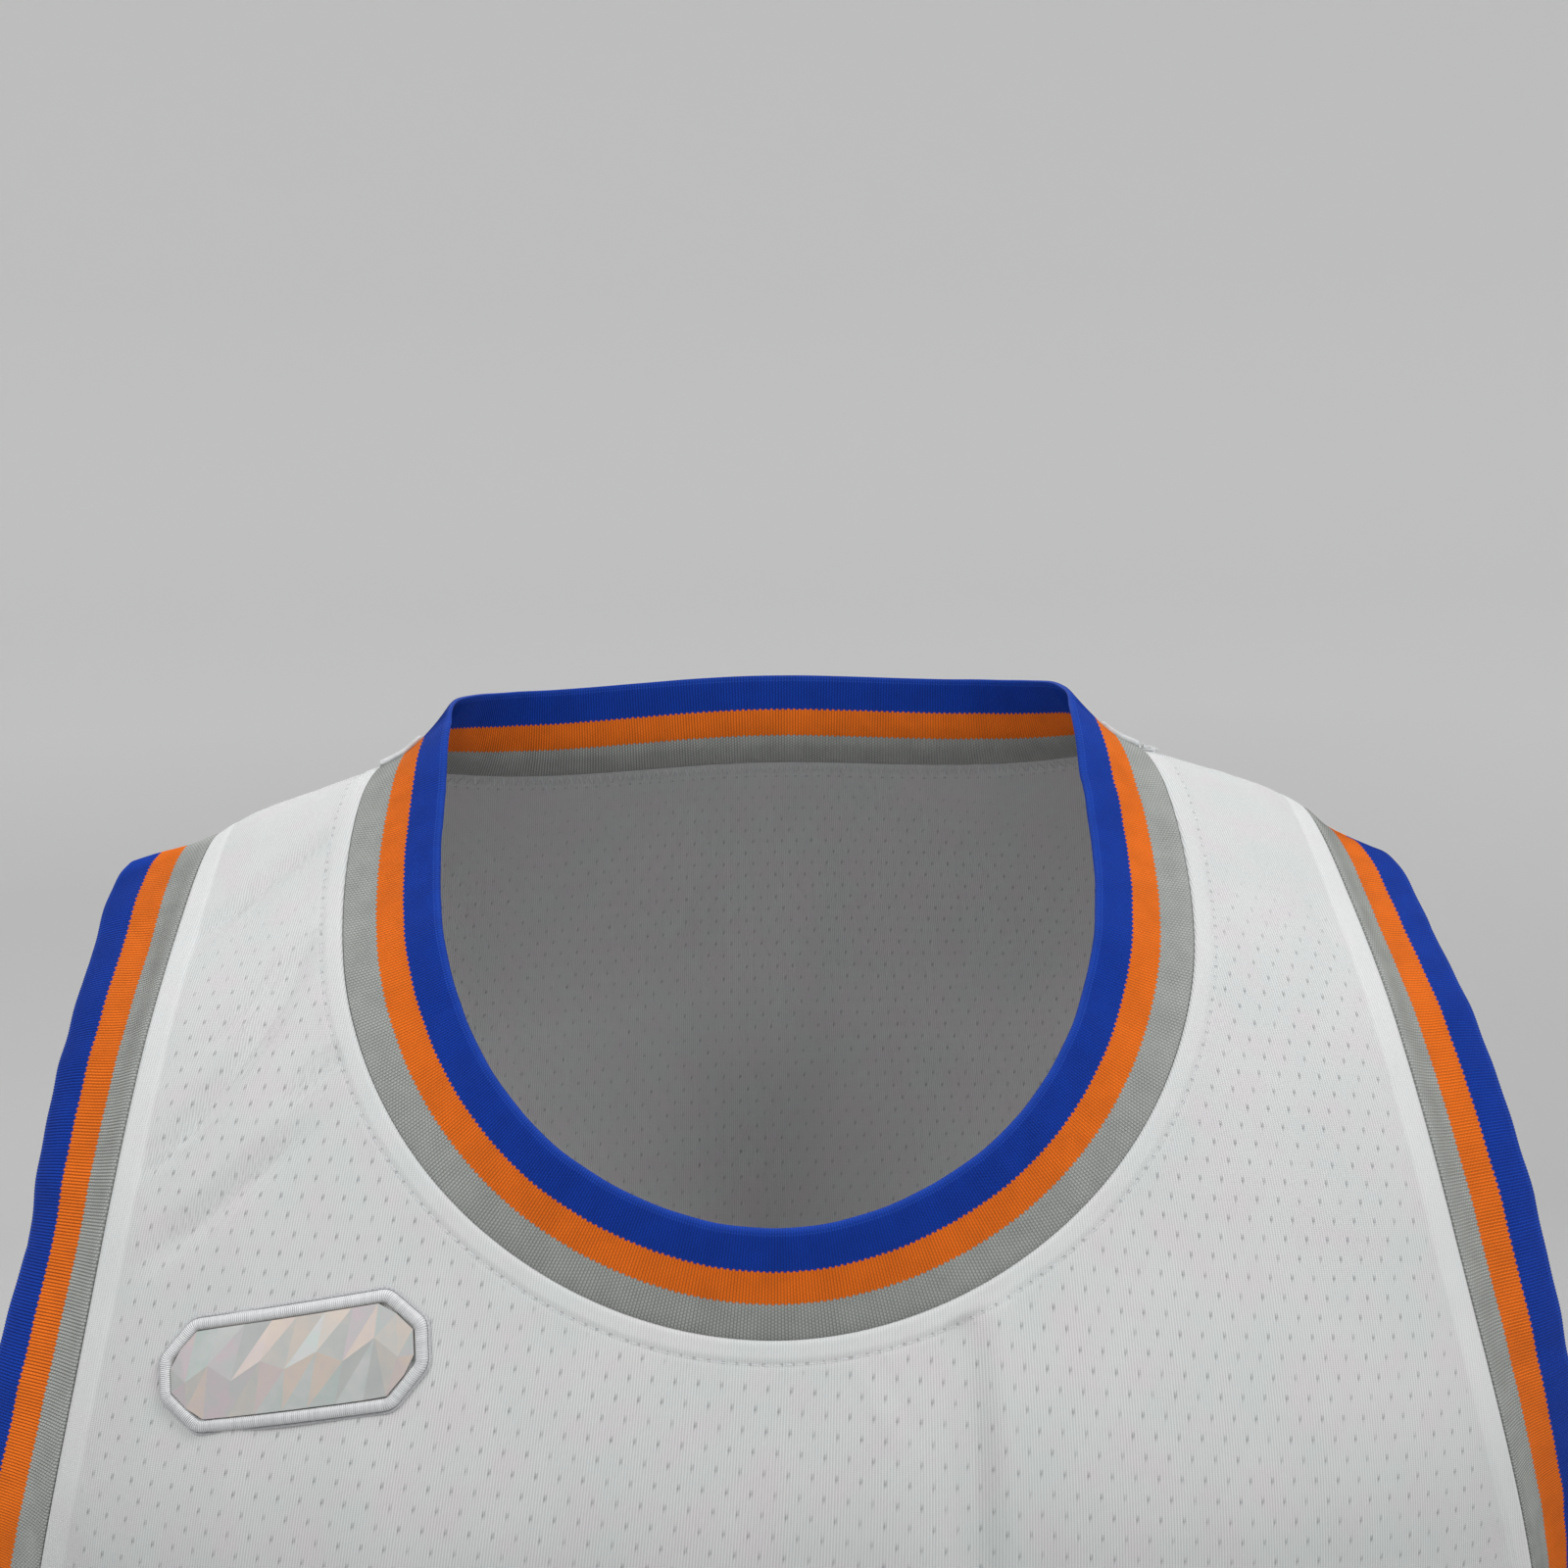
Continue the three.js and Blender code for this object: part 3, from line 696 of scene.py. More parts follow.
class Skin:
    """The cloth's outer face at some places: points, the way out, and how far off each seam is."""

    def __init__(self, across, level):
        self.across, self.level = across, level
        middle, self.normals = cloth_at(across, level)
        self.middle = middle + lift
        self.from_neck, self.neck_run = neck_seam.measure(self.middle)
        arms = [arm_seams[sign].measure(self.middle) for sign in (1, -1)]
        left = across > 0
        self.from_arm = np.where(left, arms[0][0], arms[1][0])
        self.arm_run = np.where(left, arms[0][1], arms[1][1])
        self.from_hem = hem_level - np.abs(level)
        self.from_shoulder = np.abs(level) - seam_gap / 2
        self.from_side = np.where(np.abs(level) > underarm_level, side_at(level) - np.abs(across), 99)
        free = smooth((self.from_neck - 3) / 5) * smooth((self.from_arm - 3) / 6)
        creases = crease_height(across, level) * free * smooth(self.from_side / 10)
        creases *= smooth((self.from_hem - 20) / 10) * smooth((self.from_shoulder - 3) / 8)
        puckers = pucker(self.from_neck - neck_strip, self.neck_run, 0.14, 11)
        puckers += pucker(self.from_arm - arm_strip, self.arm_run, 0.16, 12)
        puckers += pucker(self.from_hem - hem_strip, across, 0.3, 13)
        puckers += pucker(self.from_side, level, 0.25, 14, 5)
        puckers += pucker(self.from_shoulder, across, 0.12, 15, 3)
        self.shape = creases + puckers * smooth(self.from_neck / 3) * smooth(self.from_arm / 3)
        self.relief = strip_relief(self.from_neck, *neck_turned)
        self.relief += strip_relief(self.from_arm, *arm_turned)
        on_hem = 1 - smooth((self.from_hem - hem_strip) / 1.5)
        hem_high = hem_thick * on_hem * smooth(self.from_hem / 1.5)
        for row in hem_rows:
            hem_high -= hem_groove * np.exp(-((self.from_hem - row) / 0.7) ** 2)
        edge = 0.4 * (1 - smooth(self.from_side / 0.8)) + 0.3 * (1 - smooth(self.from_shoulder / 0.7))
        self.relief += hem_high - edge

    def points(self, out):
        return self.middle + self.normals * (out + self.shape + self.relief)[..., None]

    def inner_points(self, out):
        return self.middle + self.normals * (out + self.shape)[..., None]


# %% [markdown]
# Meshes are made from plain lists of points and faces. One helper does it for every piece: it
# checks which way the faces look, turns them if they look inward, writes the lengths along the
# cloth as a UV map in millimetres, and keeps named values at the points for the materials.

# %% A helper that makes a piece
body = "root"


def make_piece(name, points, faces, material, uv, values=None, sharp=50):
    points = np.asarray(points, float)
    mesh = bpy.data.meshes.new(name)
    mesh.from_pydata((points * MM).tolist(), [], faces)
    mesh.update()
    mesh.calc_loop_triangles()
    corners = np.zeros(3 * len(mesh.loop_triangles), int)
    mesh.loop_triangles.foreach_get("vertices", corners)
    a, b, c = (points[corners[k::3]] for k in range(3))
    if np.einsum("ij,ij->i", a, np.cross(b, c)).sum() < 0:
        mesh.flip_normals()
    mesh.shade_smooth()
    mesh.set_sharp_from_angle(angle=math.radians(sharp))
    order = np.zeros(len(mesh.loops), int)
    mesh.loops.foreach_get("vertex_index", order)
    layer = mesh.uv_layers.new(name="cloth_mm")
    layer.uv.foreach_set("vector", np.asarray(uv, np.float32)[order].ravel())
    for key, value in (values or {}).items():
        attribute = mesh.attributes.new(key, "FLOAT", "POINT")
        attribute.data.foreach_set("value", np.asarray(value, np.float32).ravel())
    mesh.materials.append(material)
    piece = bpy.data.objects.new(name, mesh)
    bpy.context.scene.collection.objects.link(piece)
    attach(piece, body)
    print(name, "has", len(corners) // 3, "triangles")
    return piece


# %% [markdown]
# ## Materials
#
# All colour and surface come from nodes, so they have no pixels and no seams. A small class
# keeps the node work readable: each step adds one node and hands back its output.

# %% A helper for node materials
class Finish:
    def __init__(self, name):
        self.material = bpy.data.materials.new(name)
        self.material.use_nodes = True
        self.nodes = self.material.node_tree.nodes
        self.links = self.material.node_tree.links
        self.shader = self.nodes["Principled BSDF"]

    def give(self, socket, value):
        if isinstance(value, bpy.types.NodeSocket):
            self.links.new(value, socket)
        else:
            socket.default_value = value

    def add(self, kind, inputs=(), output=0, **settings):
        node = self.nodes.new("ShaderNode" + kind)
        for key, value in settings.items():
            setattr(node, key, value)
        for key, value in dict(inputs).items():
            self.give(node.inputs[key], value)
        return node.outputs[output]

    def math(self, operation, *values):
        return self.add("Math", enumerate(values), operation=operation)

    def plus(self, a, b):
        return self.math("ADD", a, b)

    def minus(self, a, b):
        return self.math("SUBTRACT", a, b)

    def times(self, a, b):
        return self.math("MULTIPLY", a, b)

    def over(self, a, b):
        return self.math("DIVIDE", a, b)

    def most(self, a, b):
        return self.math("MAXIMUM", a, b)

    def wrapped(self, value, repeat):
        """How far a value lies into its repeat."""
        return self.math("FLOORED_MODULO", value, repeat)

    def count(self, value, repeat):
        """How many whole repeats lie before a value."""
        return self.math("FLOOR", self.over(value, repeat))

    def wave(self, value, repeat):
        """A sine wave, once up and down in each repeat."""
        return self.math("SINE", self.times(value, 2 * math.pi / repeat))

    def off(self, value, middle):
        """How far a value lies off a middle, to either side."""
        return self.math("ABSOLUTE", self.minus(value, middle))

    def off_middle(self, value, repeat):
        """How far a value lies off the middle of its repeat, from 0 to 0.5."""
        return self.off(self.math("FRACT", self.over(value, repeat)), 0.5)

    def value(self, name):
        return self.add("Attribute", output="Fac", attribute_name=name)

    def cloth(self):
        """The two lengths along the cloth, in millimetres."""
        node = self.nodes.new("ShaderNodeSeparateXYZ")
        self.links.new(self.add("UVMap", uv_map="cloth_mm"), node.inputs[0])
        return node.outputs[0], node.outputs[1]

    def join(self, x, y):
        return self.add("CombineXYZ", {0: x, 1: y})

    def noise(self, vector, scale, detail=2.0):
        return self.add("TexNoise", {"Vector": vector, "Scale": scale, "Detail": detail})

    def ramp(self, value, low, high, bottom=0.0, top=1.0):
        inputs = {"Value": value, "From Min": low, "From Max": high, "To Min": bottom, "To Max": top}
        return self.add("MapRange", inputs, interpolation_type="SMOOTHSTEP")

    def mix(self, factor, a, b, blend="MIX"):
        node = self.nodes.new("ShaderNodeMix")
        node.data_type = "RGBA"
        node.blend_type = blend
        for key, value in (("Factor_Float", factor), ("A_Color", a), ("B_Color", b)):
            self.give(next(s for s in node.inputs if s.identifier == key), value)
        return next(s for s in node.outputs if s.identifier == "Result_Color")

    def shaded(self, colour, shade):
        """A colour made darker or lighter by a factor."""
        grey = self.add("CombineColor", {0: shade, 1: shade, 2: shade})
        return self.mix(1.0, colour, grey, "MULTIPLY")

    def bump(self, height, distance, strength):
        return self.add("Bump", {"Height": height, "Distance": distance, "Strength": strength})

    def set(self, **inputs):
        for key, value in inputs.items():
            self.give(self.shader.inputs[key.replace("_", " ")], value)


# %% [markdown]
# ### Mesh knit
#
# The cloth is a warp-knit mesh of white polyester: fine upright wales of tiny V stitches, broken
# by eyelets in staggered rows. An eyelet here is a pair of narrow upright gaps, one or two
# millimetres long. All of it is far too fine to model, so it is drawn along the cloth's own
# millimetres: the gaps and the needle holes as painted shade, with painted shade between the
# wales too. The eyelets stop beside the seams, where several layers lie on each other.

# %% The mesh knit finish
wale, course = 0.725, 0.5
eyelet_across, eyelet_down = 5.8, 4.95
# centre across and down, half width, half height, and how dark the painted shade in the gap is
eyelet_gaps = [(2.9, 2.6, 0.2, 0.4, 0.62), (2.9, 2.55, 0.13, 1.05, 0.44), (3.3, 2.2, 0.12, 0.7, 0.38)]
# how far from an edge the eyelets begin, and where they are in full
eyelets_from = [("from_neck", 7.0, 9.0), ("from_arm", 7.5, 11.0), ("from_shoulder", 34.0, 84.0),
                ("from_hem", hem_strip + 0.5, hem_strip + 1.5)]
needle_pitch, needle_at = 3.3, 1.6
strip_whiteness = 0.4


def mesh_knit():
    f = Finish("mesh_knit")
    across, down = f.cloth()
    place = f.join(across, down)
    # wales and the V of each stitch
    slant = f.times(f.math("PINGPONG", across, wale / 2), 0.9)
    rows = f.wave(f.plus(down, slant), course)
    knit = f.plus(f.times(f.wave(across, wale), 0.6), f.times(rows, 0.4))
    # eyelets, drawn as painted shade in their gaps: every second row is moved along by half a repeat
    odd_row = f.math("MODULO", f.math("ABSOLUTE", f.count(down, eyelet_down)), 2.0)
    x = f.wrapped(f.plus(across, f.times(odd_row, eyelet_across / 2)), eyelet_across)
    y = f.wrapped(down, eyelet_down)
    holes = 0.0
    for centre_x, centre_y, half_width, half_height, depth in eyelet_gaps:
        dx = f.over(f.minus(x, centre_x), half_width)
        dy = f.over(f.minus(y, centre_y), half_height)
        far = f.plus(f.times(dx, dx), f.times(dy, dy))
        holes = f.most(holes, f.ramp(far, 0.2, 1.6, depth, 0.0))
    for name, low, high in eyelets_from:
        holes = f.times(holes, f.ramp(f.value(name), low, high))
    uneven_holes = f.ramp(f.noise(place, 0.35), 0.3, 0.62, 0.55, 1.0)
    holes = f.times(holes, f.times(uneven_holes, 0.85))
    # painted shade in the needle holes of the topstitching
    slip = f.times(f.noise(f.join(f.value("neck_run"), 0.0), 0.11), 4.0)
    along = f.wrapped(f.plus(f.value("neck_run"), slip), needle_pitch)
    spot_x = f.math("POWER", f.over(f.minus(along, needle_at), 0.42), 2.0)
    spot_y = f.math("POWER", f.over(f.minus(f.value("from_neck"), neck_strip), 0.45), 2.0)
    needle_shade = f.ramp(f.plus(spot_x, spot_y), 0.3, 1.4, 1.0, 0.0)
    hole_and_groove_shade = f.most(holes, f.times(needle_shade, 0.32))
    # colour: white with faint cool and warm clouds, and painted shade between the wales
    clouds = f.ramp(f.noise(place, 0.028, 3.0), 0.35, 0.65)
    white = f.mix(clouds, linear(211, 216, 215), linear(216, 217, 217))
    tint = f.ramp(f.noise(f.join(down, across), 0.09, 3.0), 0.38, 0.7)
    white = f.mix(f.times(tint, 0.5), white, linear(219, 211, 215))
    white = f.shaded(white, f.ramp(knit, -1.0, 1.0, 0.76, 1.07))
    # the strips beside the seams are doubled, so they look whiter and smoother
    beside_arm = f.ramp(f.value("from_arm"), 6.6, 8.0, 1.0, 0.0)
    beside_neck = f.ramp(f.value("from_neck"), 5.2, 6.2, 0.45, 0.0)
    doubled = f.times(f.most(beside_arm, beside_neck), strip_whiteness)
    white = f.mix(doubled, white, linear(228, 230, 230))
    # painted shade where the eyelets and the needle holes are
    colour = f.mix(hole_and_groove_shade, white, linear(104, 106, 110))
    height = f.minus(f.times(knit, 0.12), f.times(hole_and_groove_shade, 0.9))
    fuzz = f.times(f.noise(place, 2.6, 4.0), 0.12)
    f.set(Base_Color=colour, Normal=f.bump(f.plus(height, fuzz), 0.0005, 0.9))
    f.set(Roughness=0.78, Sheen_Weight=0.15, Sheen_Roughness=0.5, Specular_IOR_Level=0.3)
    return f.material


knit_finish = mesh_knit()

# %% [markdown]
# ### Rib knit
#
# The bands are a fine rib knitted in three coloured yarns: grey beside the cloth, orange, and
# blue at the free edge. Each rib is its own column of stitches, so the border between two yarns
# steps up and down from rib to rib, and painted shade darkens the valleys between ribs.

# %% The rib knit finish
rib, band_width = 0.86, 28.0
grey_to, orange_to = 9.4, 17.5
dot_pitch = 0.9


def rib_knit():
    f = Finish("rib_knit")
    along, width = f.cloth()
    place = f.join(along, width)
    column = f.count(along, rib)
    odd = f.math("MODULO", column, 2.0)
    step = f.plus(f.times(odd, 0.36), f.times(f.noise(f.join(column, 0.0), 1.7, 0.0), 0.35))
    border = f.plus(width, step)
    first = f.ramp(border, grey_to + 0.25, grey_to + 0.42)
    second = f.ramp(border, orange_to + 0.25, orange_to + 0.42)
    # painted shade in the hollows between stitches, in dots staggered from rib to rib, shows most in the
    # grey yarn
    dot_down = f.wrapped(f.plus(width, f.times(odd, dot_pitch / 2)), dot_pitch)
    stitch_hollow_shade = f.ramp(f.off(dot_down, dot_pitch / 2), 0.1, 0.34, 0.5, 0.0)
    valley = f.ramp(f.off_middle(along, rib), 0.2, 0.5)
    grey = f.mix(stitch_hollow_shade, linear(168, 171, 167), linear(122, 124, 122))
    orange = f.mix(f.times(stitch_hollow_shade, 0.6), linear(226, 114, 28), linear(200, 84, 6))
    blue = f.mix(f.times(stitch_hollow_shade, 0.6), linear(9, 58, 160), linear(4, 32, 112))
    colour = f.mix(second, f.mix(first, grey, orange), blue)
    # painted highlight on the turned edge and on a chain of stitches beside it
    turned_highlight = f.ramp(width, band_width - 1.3, band_width - 0.7)
    chain = f.ramp(f.off(width, band_width - 1.5), 0.08, 0.3, 1.0, 0.0)
    chain = f.times(chain, f.minus(1.0, valley))
    fold_and_chain_highlight = f.most(f.times(turned_highlight, 0.16), f.times(chain, 0.4))
    colour = f.mix(fold_and_chain_highlight, colour, linear(48, 92, 196))
    cloud = f.ramp(f.noise(place, 0.12, 3.0), 0.3, 0.7, 0.93, 1.05)
    # painted shade in the valleys between ribs, times a faint cloudy tone
    colour = f.shaded(colour, f.times(f.ramp(valley, 0.0, 1.0, 1.06, 0.6), cloud))
    height = f.minus(f.times(f.noise(place, 5.0, 3.0), 0.3), f.times(stitch_hollow_shade, 0.5))
    f.set(Base_Color=colour, Normal=f.bump(height, 0.0002, 0.7))
    f.set(Roughness=0.72, Sheen_Weight=0.04, Sheen_Roughness=0.45, Specular_IOR_Level=0.15)
    return f.material


rib_finish = rib_knit()

# %% [markdown]
# ### Thread
#
# Sewing thread is twisted from two plies, with painted shade in the groove between them and a soft shine
# along it.

# %% The thread finish
ply_pitch = 0.3


def thread(name, colour, hole_and_groove_shade):
    f = Finish(name)
    along, side = f.cloth()
    ply = f.wave(f.plus(along, side), ply_pitch)
    # painted shade in the grooves between the plies, over the thread's own colour
    f.set(Base_Color=f.mix(f.ramp(ply, -1.0, 1.0), hole_and_groove_shade, colour))
    f.set(Normal=f.bump(ply, 0.00006, 0.6), Roughness=0.5, Sheen_Weight=0.15, Sheen_Roughness=0.4)
    return f.material


# the second colour of each thread is its painted shade between the plies
white_thread = thread("white_thread", linear(238, 240, 240), linear(200, 203, 205))
badge_thread = thread("badge_thread", linear(226, 227, 228), linear(160, 161, 166))

# %% [markdown]
# ## The panels
#
# Each panel is cut whole, with its half of each strap. Its outer face takes every place of the
# grid and its inner face every second one, since less of it shows. A narrow rim joins the two,
# so the piece is a closed shell about 1.3 mm thick.

# %% Make the two panels
skin_out, skin_in = 1.0, -0.3
width_drop = 60


def run_down(face):
    """The true way down the centre of a panel at each level."""
    levels = np.linspace(0, hem_level, 1500)
    points = body_point(np.full(len(levels), 30.0), face * levels)
    steps = np.linalg.norm(np.diff(points, axis=0), axis=1)
    run = np.concatenate([[0], np.cumsum(steps)])
    return lambda level: np.interp(np.abs(level), levels, run)


# level, how fast the wales part, how fast they drift to one side on the front, and how much
# closer the rows lie
grain_pull = [(0, 0.19, 0, 0.1), (60, 0.19, 0, 0.1), (110, 0.18, -0.02, 0.074),
              (150, 0.15, -0.05, 0.035), (200, 0.12, -0.075, 0), (300, 0.06, -0.075, 0),
              (400, 0, -0.02, 0), (800, 0, 0, 0)]
grain_still = 200
wale_reach = 80
row_tilt, row_bend, row_start = 0.12, 30, -85


def gathered(column, level):
    """A column of the table, summed along the levels from the level where nothing is moved."""
    step = 2.0
    levels = np.arange(0, grain_pull[-1][0], step)
    rate = np.interp(levels, [row[0] for row in grain_pull], [row[column] for row in grain_pull])
    total = np.cumsum(rate) * step
    return np.interp(np.abs(level), levels, total) - np.interp(grain_still, levels, total)


def grain(face, across, level):
    """Where a place lies in the knit. The wales part on their way down over the chest, the rows sink
    with the shoulder line, and on the front both are pulled down towards the wearer's left."""
    wales = across - gathered(1, level) * np.tanh(across / wale_reach)
    rows = run_down(face)(level) + slope_fall(np.abs(across), np.abs(level)) + gathered(3, level)
    if face > 0:
        wales = wales - gathered(2, level)
        rows = rows - row_tilt * row_bend * np.logaddexp(0, (across - row_start) / row_bend)
    return np.stack([wales, rows], axis=1)


def grid_faces(columns, rows, first=0):
    i = np.arange(columns - 1)[:, None] * rows
    j = np.arange(rows - 1)[None]
    a = (i + j + first).ravel()
    return np.stack([a, a + 1, a + rows + 1, a + rows], axis=1).tolist()


def border_of(columns, rows):
    """The points round a grid's border, in order."""
    i, j = np.arange(columns), np.arange(rows)
    last_i, last_j = (columns - 1) * rows, rows - 1
    return np.concatenate([j[:-1], i[:-1] * rows + last_j, last_i + j[::-1][:-1], i[::-1][:-1] * rows])


def make_panel(name, node, face):
    places = read_grid(panel_grid(face), column_steps, row_steps)
    columns, rows = places.shape[:2]
    skin = Skin(places[..., 0].ravel(), places[..., 1].ravel())
    outer = skin.points(skin_out)
    kept = np.arange(columns * rows).reshape(columns, rows)[::2, ::2]
    inner_columns, inner_rows = kept.shape
    inner = skin.inner_points(skin_in)[kept.ravel()]
    count = len(outer)
    faces = grid_faces(columns, rows)
    faces += [face_row[::-1] for face_row in grid_faces(inner_columns, inner_rows, count)]
    edge = border_of(columns, rows)
    inner_edge = border_of(inner_columns, inner_rows) + count
    for k in range(len(inner_edge)):
        p, q, r = (int(edge[(2 * k + n) % len(edge)]) for n in (0, 1, 2))
        a, b = int(inner_edge[k]), int(inner_edge[(k + 1) % len(inner_edge)])
        faces += [[q, p, a], [q, a, b], [r, q, b]]
    keep = np.concatenate([np.arange(count), kept.ravel()])
    uv = grain(face, skin.across, skin.level)[keep]
    values = {key: getattr(skin, key)[keep] for key in
              ("from_neck", "neck_run", "from_arm", "from_shoulder", "from_hem")}
    piece = make_piece(name, np.concatenate([outer, inner]), faces, knit_finish, uv, values)
    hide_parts(node)
    area = cloth_area(outer.reshape(columns, rows, 3))
    width = 2 * float(side_at(face * (underarm_level + width_drop))) * MM
    length = float(run_down(face)(hem_level)) * MM
    print(name, "is cut from", round(width, 3), "by", round(length, 3), "m, area", round(area, 4))
    return piece, (width, length), area


def cloth_area(grid):
    a, b, c, d = grid[:-1, :-1], grid[1:, :-1], grid[1:, 1:], grid[:-1, 1:]
    return float((np.linalg.norm(np.cross(c - a, d - b), axis=-1) / 2).sum()) * MM * MM


front = make_panel("front_cloth", "front_panel", 1)
back = make_panel("back_cloth", "back_panel", -1)

# %% [markdown]
# ## The rib bands
#
# A band is a strip of rib, folded in two along its free edge and sewn to the seam. How far it
# turns out of the cloth changes along the seam and across the band: the neck band stands up most
# at the back, and the armhole bands dip at the seam and rise again beyond it. Every rib is
# modelled, four columns of points to a rib, so the band has its fine ridges in the mesh itself.

# %% Make the bands
band_wall, band_inner = 1.3, -0.55
rib_depth = 0.22
# share of the width, and the share of the full thickness there
band_rows = [(0, 0.7), (0.03, 1), (0.12, 1), (0.24, 1), (0.36, 1), (0.48, 1), (0.6, 1), (0.72, 1),
             (0.84, 1), (0.95, 1), (0.988, 0.85), (1, 0.5)]

# level, then the turn in degrees at three shares of the width
turn_shares = (0.17, 0.5, 0.85)
neck_turns = [(-52, 14, 40, 40), (-10, 8, 28, 28), (0, 8, 24, 22), (25, -8, 14, 8), (95, -2, 0, 6),
              (178, 24, 20, 18)]
left_arm_turns = [(-300, -4, 10, 2), (-50, -14, 8, -2), (0, -14, 2, 5), (50, -28, 11, -6),
                  (140, -18, 28, -2), (240, -15, 12, 1), (300, -4, 10, 2)]
right_arm_turns = [(-300, -4, 10, 2), (-50, -6, 8, 0), (0, 9, 16, 11), (50, -21, 21, -11),
                   (140, -23, 5, -22), (240, 4, 25, 10), (300, -4, 10, 2)]


def turn_from(rows, level, share):
    """How far a band turns out of the cloth, read between the rows and between the three shares."""
    levels = [row[0] for row in rows]
    near, middle, far = (np.interp(level, levels, [row[k] for row in rows]) for k in (1, 2, 3))
    first, second, third = turn_shares
    turn = mix(near, middle, np.clip((share - first) / (second - first), 0, 1))
    return np.radians(mix(turn, far, np.clip((share - second) / (third - second), 0, 1)))


def faced(along_cloth, off_cloth, turn):
    """A band's way on and its way out, from the cloth's two ways and the turn between them."""
    turn = turn[..., None]
    onward = along_cloth * np.cos(turn) + off_cloth * np.sin(turn)
    return onward, off_cloth * np.cos(turn) - along_cloth * np.sin(turn)


def band_section(seam, turns):
    """Centre, way out and share of the full thickness at each row, for every column."""
    centre = seam.points + seam.away * seam_gap
    level = seam.places[:, 1]
    passed = 0
    rows = []
    for share, thick in band_rows:
        halfway = turn_from(turns, level, (share + passed) / 2)
        onward, _ = faced(seam.away, seam.normals, halfway)
        centre = centre + onward * ((share - passed) * band_width)
        passed = share
        _, outward = faced(seam.away, seam.normals, turn_from(turns, level, share))
        rows.append((centre, outward, thick))
    return rows


def loop_faces(columns, rows):
    """Faces of a closed loop whose rows also close round the section."""
    i = np.arange(columns)[:, None]
    j = np.arange(rows)[None]
    following, below = (i + 1) % columns, (j + 1) % rows
    return np.stack([(i * rows + j), (i * rows + below), (following * rows + below),
                     (following * rows + j)], axis=-1).reshape(-1, 4).tolist()


def make_band(name, node, places, turns, gentle):
    seam = Seam(places, rib / 4)
    ridge = rib_depth * (0.5 + 0.5 * np.cos(2 * np.pi * np.arange(seam.count) / 4)) - rib_depth
    wave = gentle * uneven(seam.run * 0.4, 21)
    outside, inside, widths = [], [], []
    for (centre, facing, thick), (share, _) in zip(band_section(seam, turns), band_rows):
        sway = (wave * smooth(share / 0.8))[:, None] * facing
        outside.append(centre + sway + facing * ((band_wall + ridge) * thick)[:, None])
        inside.append(centre + sway + facing * ((band_inner - ridge) * thick)[:, None])
        widths.append(share * band_width)
    section = outside + inside[::-1]
    width = widths + widths[::-1]
    points = np.stack(section, axis=1)
    rows = len(section)
    uv = np.stack([np.repeat(seam.run, rows), np.tile(width, seam.count)], axis=1)
    faces = loop_faces(seam.count, rows)
    piece = make_piece(name, points.reshape(-1, 3), faces, rib_finish, uv)
    close_lengths(piece.data, seam.length)
    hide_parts(node)
    area = cloth_area(np.stack(outside, axis=1))
    print(name, "is", round(seam.length), "mm round, area", round(area, 4))
    return piece, seam, area


def close_lengths(mesh, length):
    """The last column joins the first, and there the length along the band must not jump back."""
    layer = mesh.uv_layers["cloth_mm"].uv
    found = np.zeros(2 * len(mesh.loops), np.float32)
    layer.foreach_get("vector", found)
    found = found.reshape(-1, 4, 2)
    along = found[:, :, 0]
    jump = (along.max(axis=1) - along.min(axis=1)) > length / 2
    found[jump, :, 0] = np.where(along[jump] < length / 2, along[jump] + length, along[jump])
    layer.foreach_set("vector", found.ravel())


neck_run = neck_run_places(fine_run_steps)
left_run, right_run = (armhole_run_places(sign, fine_run_steps) for sign in (1, -1))
neck = make_band("neck_rib", "neck_band", neck_run, neck_turns, 0.25)
fine_neck = neck[1]
left_arm = make_band("armhole_rib_left", "armhole_band_left", left_run, left_arm_turns, 0.3)
right_arm = make_band("armhole_rib_right", "armhole_band_right", right_run, right_arm_turns, 0.3)

# %% [markdown]
# ## Stitches
#
# A lockstitch shows as short threads in a row that dip into the cloth at both ends. Each one is
# a small closed spindle with blunt ends, laid along its seam. The neck has one row where the
# turned strip ends, and the hem has two.

# %% Lay stitches along a seam
stitch_sides, stitch_sink = 6, 0.35
neck_stitch_pitch, neck_stitch = 2.6, (2.0, 0.3)
hem_stitch_pitch, hem_stitch = 3.1, (2.4, 0.4)
# share of the length, and share of the thickness, from one end to the other
stitch_profile = [(-0.5, 0.25), (-0.38, 0.85), (0.0, 1.0), (0.38, 0.85), (0.5, 0.25)]


def inward(places, way, distance):
    """Places moved over the cloth by a distance, along a direction that lies in the cloth."""
    for _ in range(2):
        across, level = places[:, 0], places[:, 1]
        right = (cloth_at(across + 1, level)[0] - cloth_at(across - 1, level)[0]) / 2
        down = (cloth_at(across, level + 1)[0] - cloth_at(across, level - 1)[0]) / 2
        rr, dd, rd = ((a * b).sum(-1) for a, b in ((right, right), (down, down), (right, down)))
        rw, dw = (right * way).sum(-1), (down * way).sum(-1)
        fixed = rr * dd - rd * rd
        step = np.stack([(rw * dd - dw * rd) / fixed, (dw * rr - rw * rd) / fixed], axis=1)
        places = places + step * distance / 2
    return places


def tube_faces(rings, sides, first=0):
    """Faces of a tube of rings, with a face over each end. first is its first point's number."""
    faces = []
    for ring in range(rings - 1):
        for k in range(sides):
            a, b = (first + ring * sides + n % sides for n in (k, k + 1))
            faces.append([a, b, b + sides, a + sides])
    last = first + (rings - 1) * sides
    return faces + [list(range(first, first + sides))[::-1], list(range(last, last + sides))]


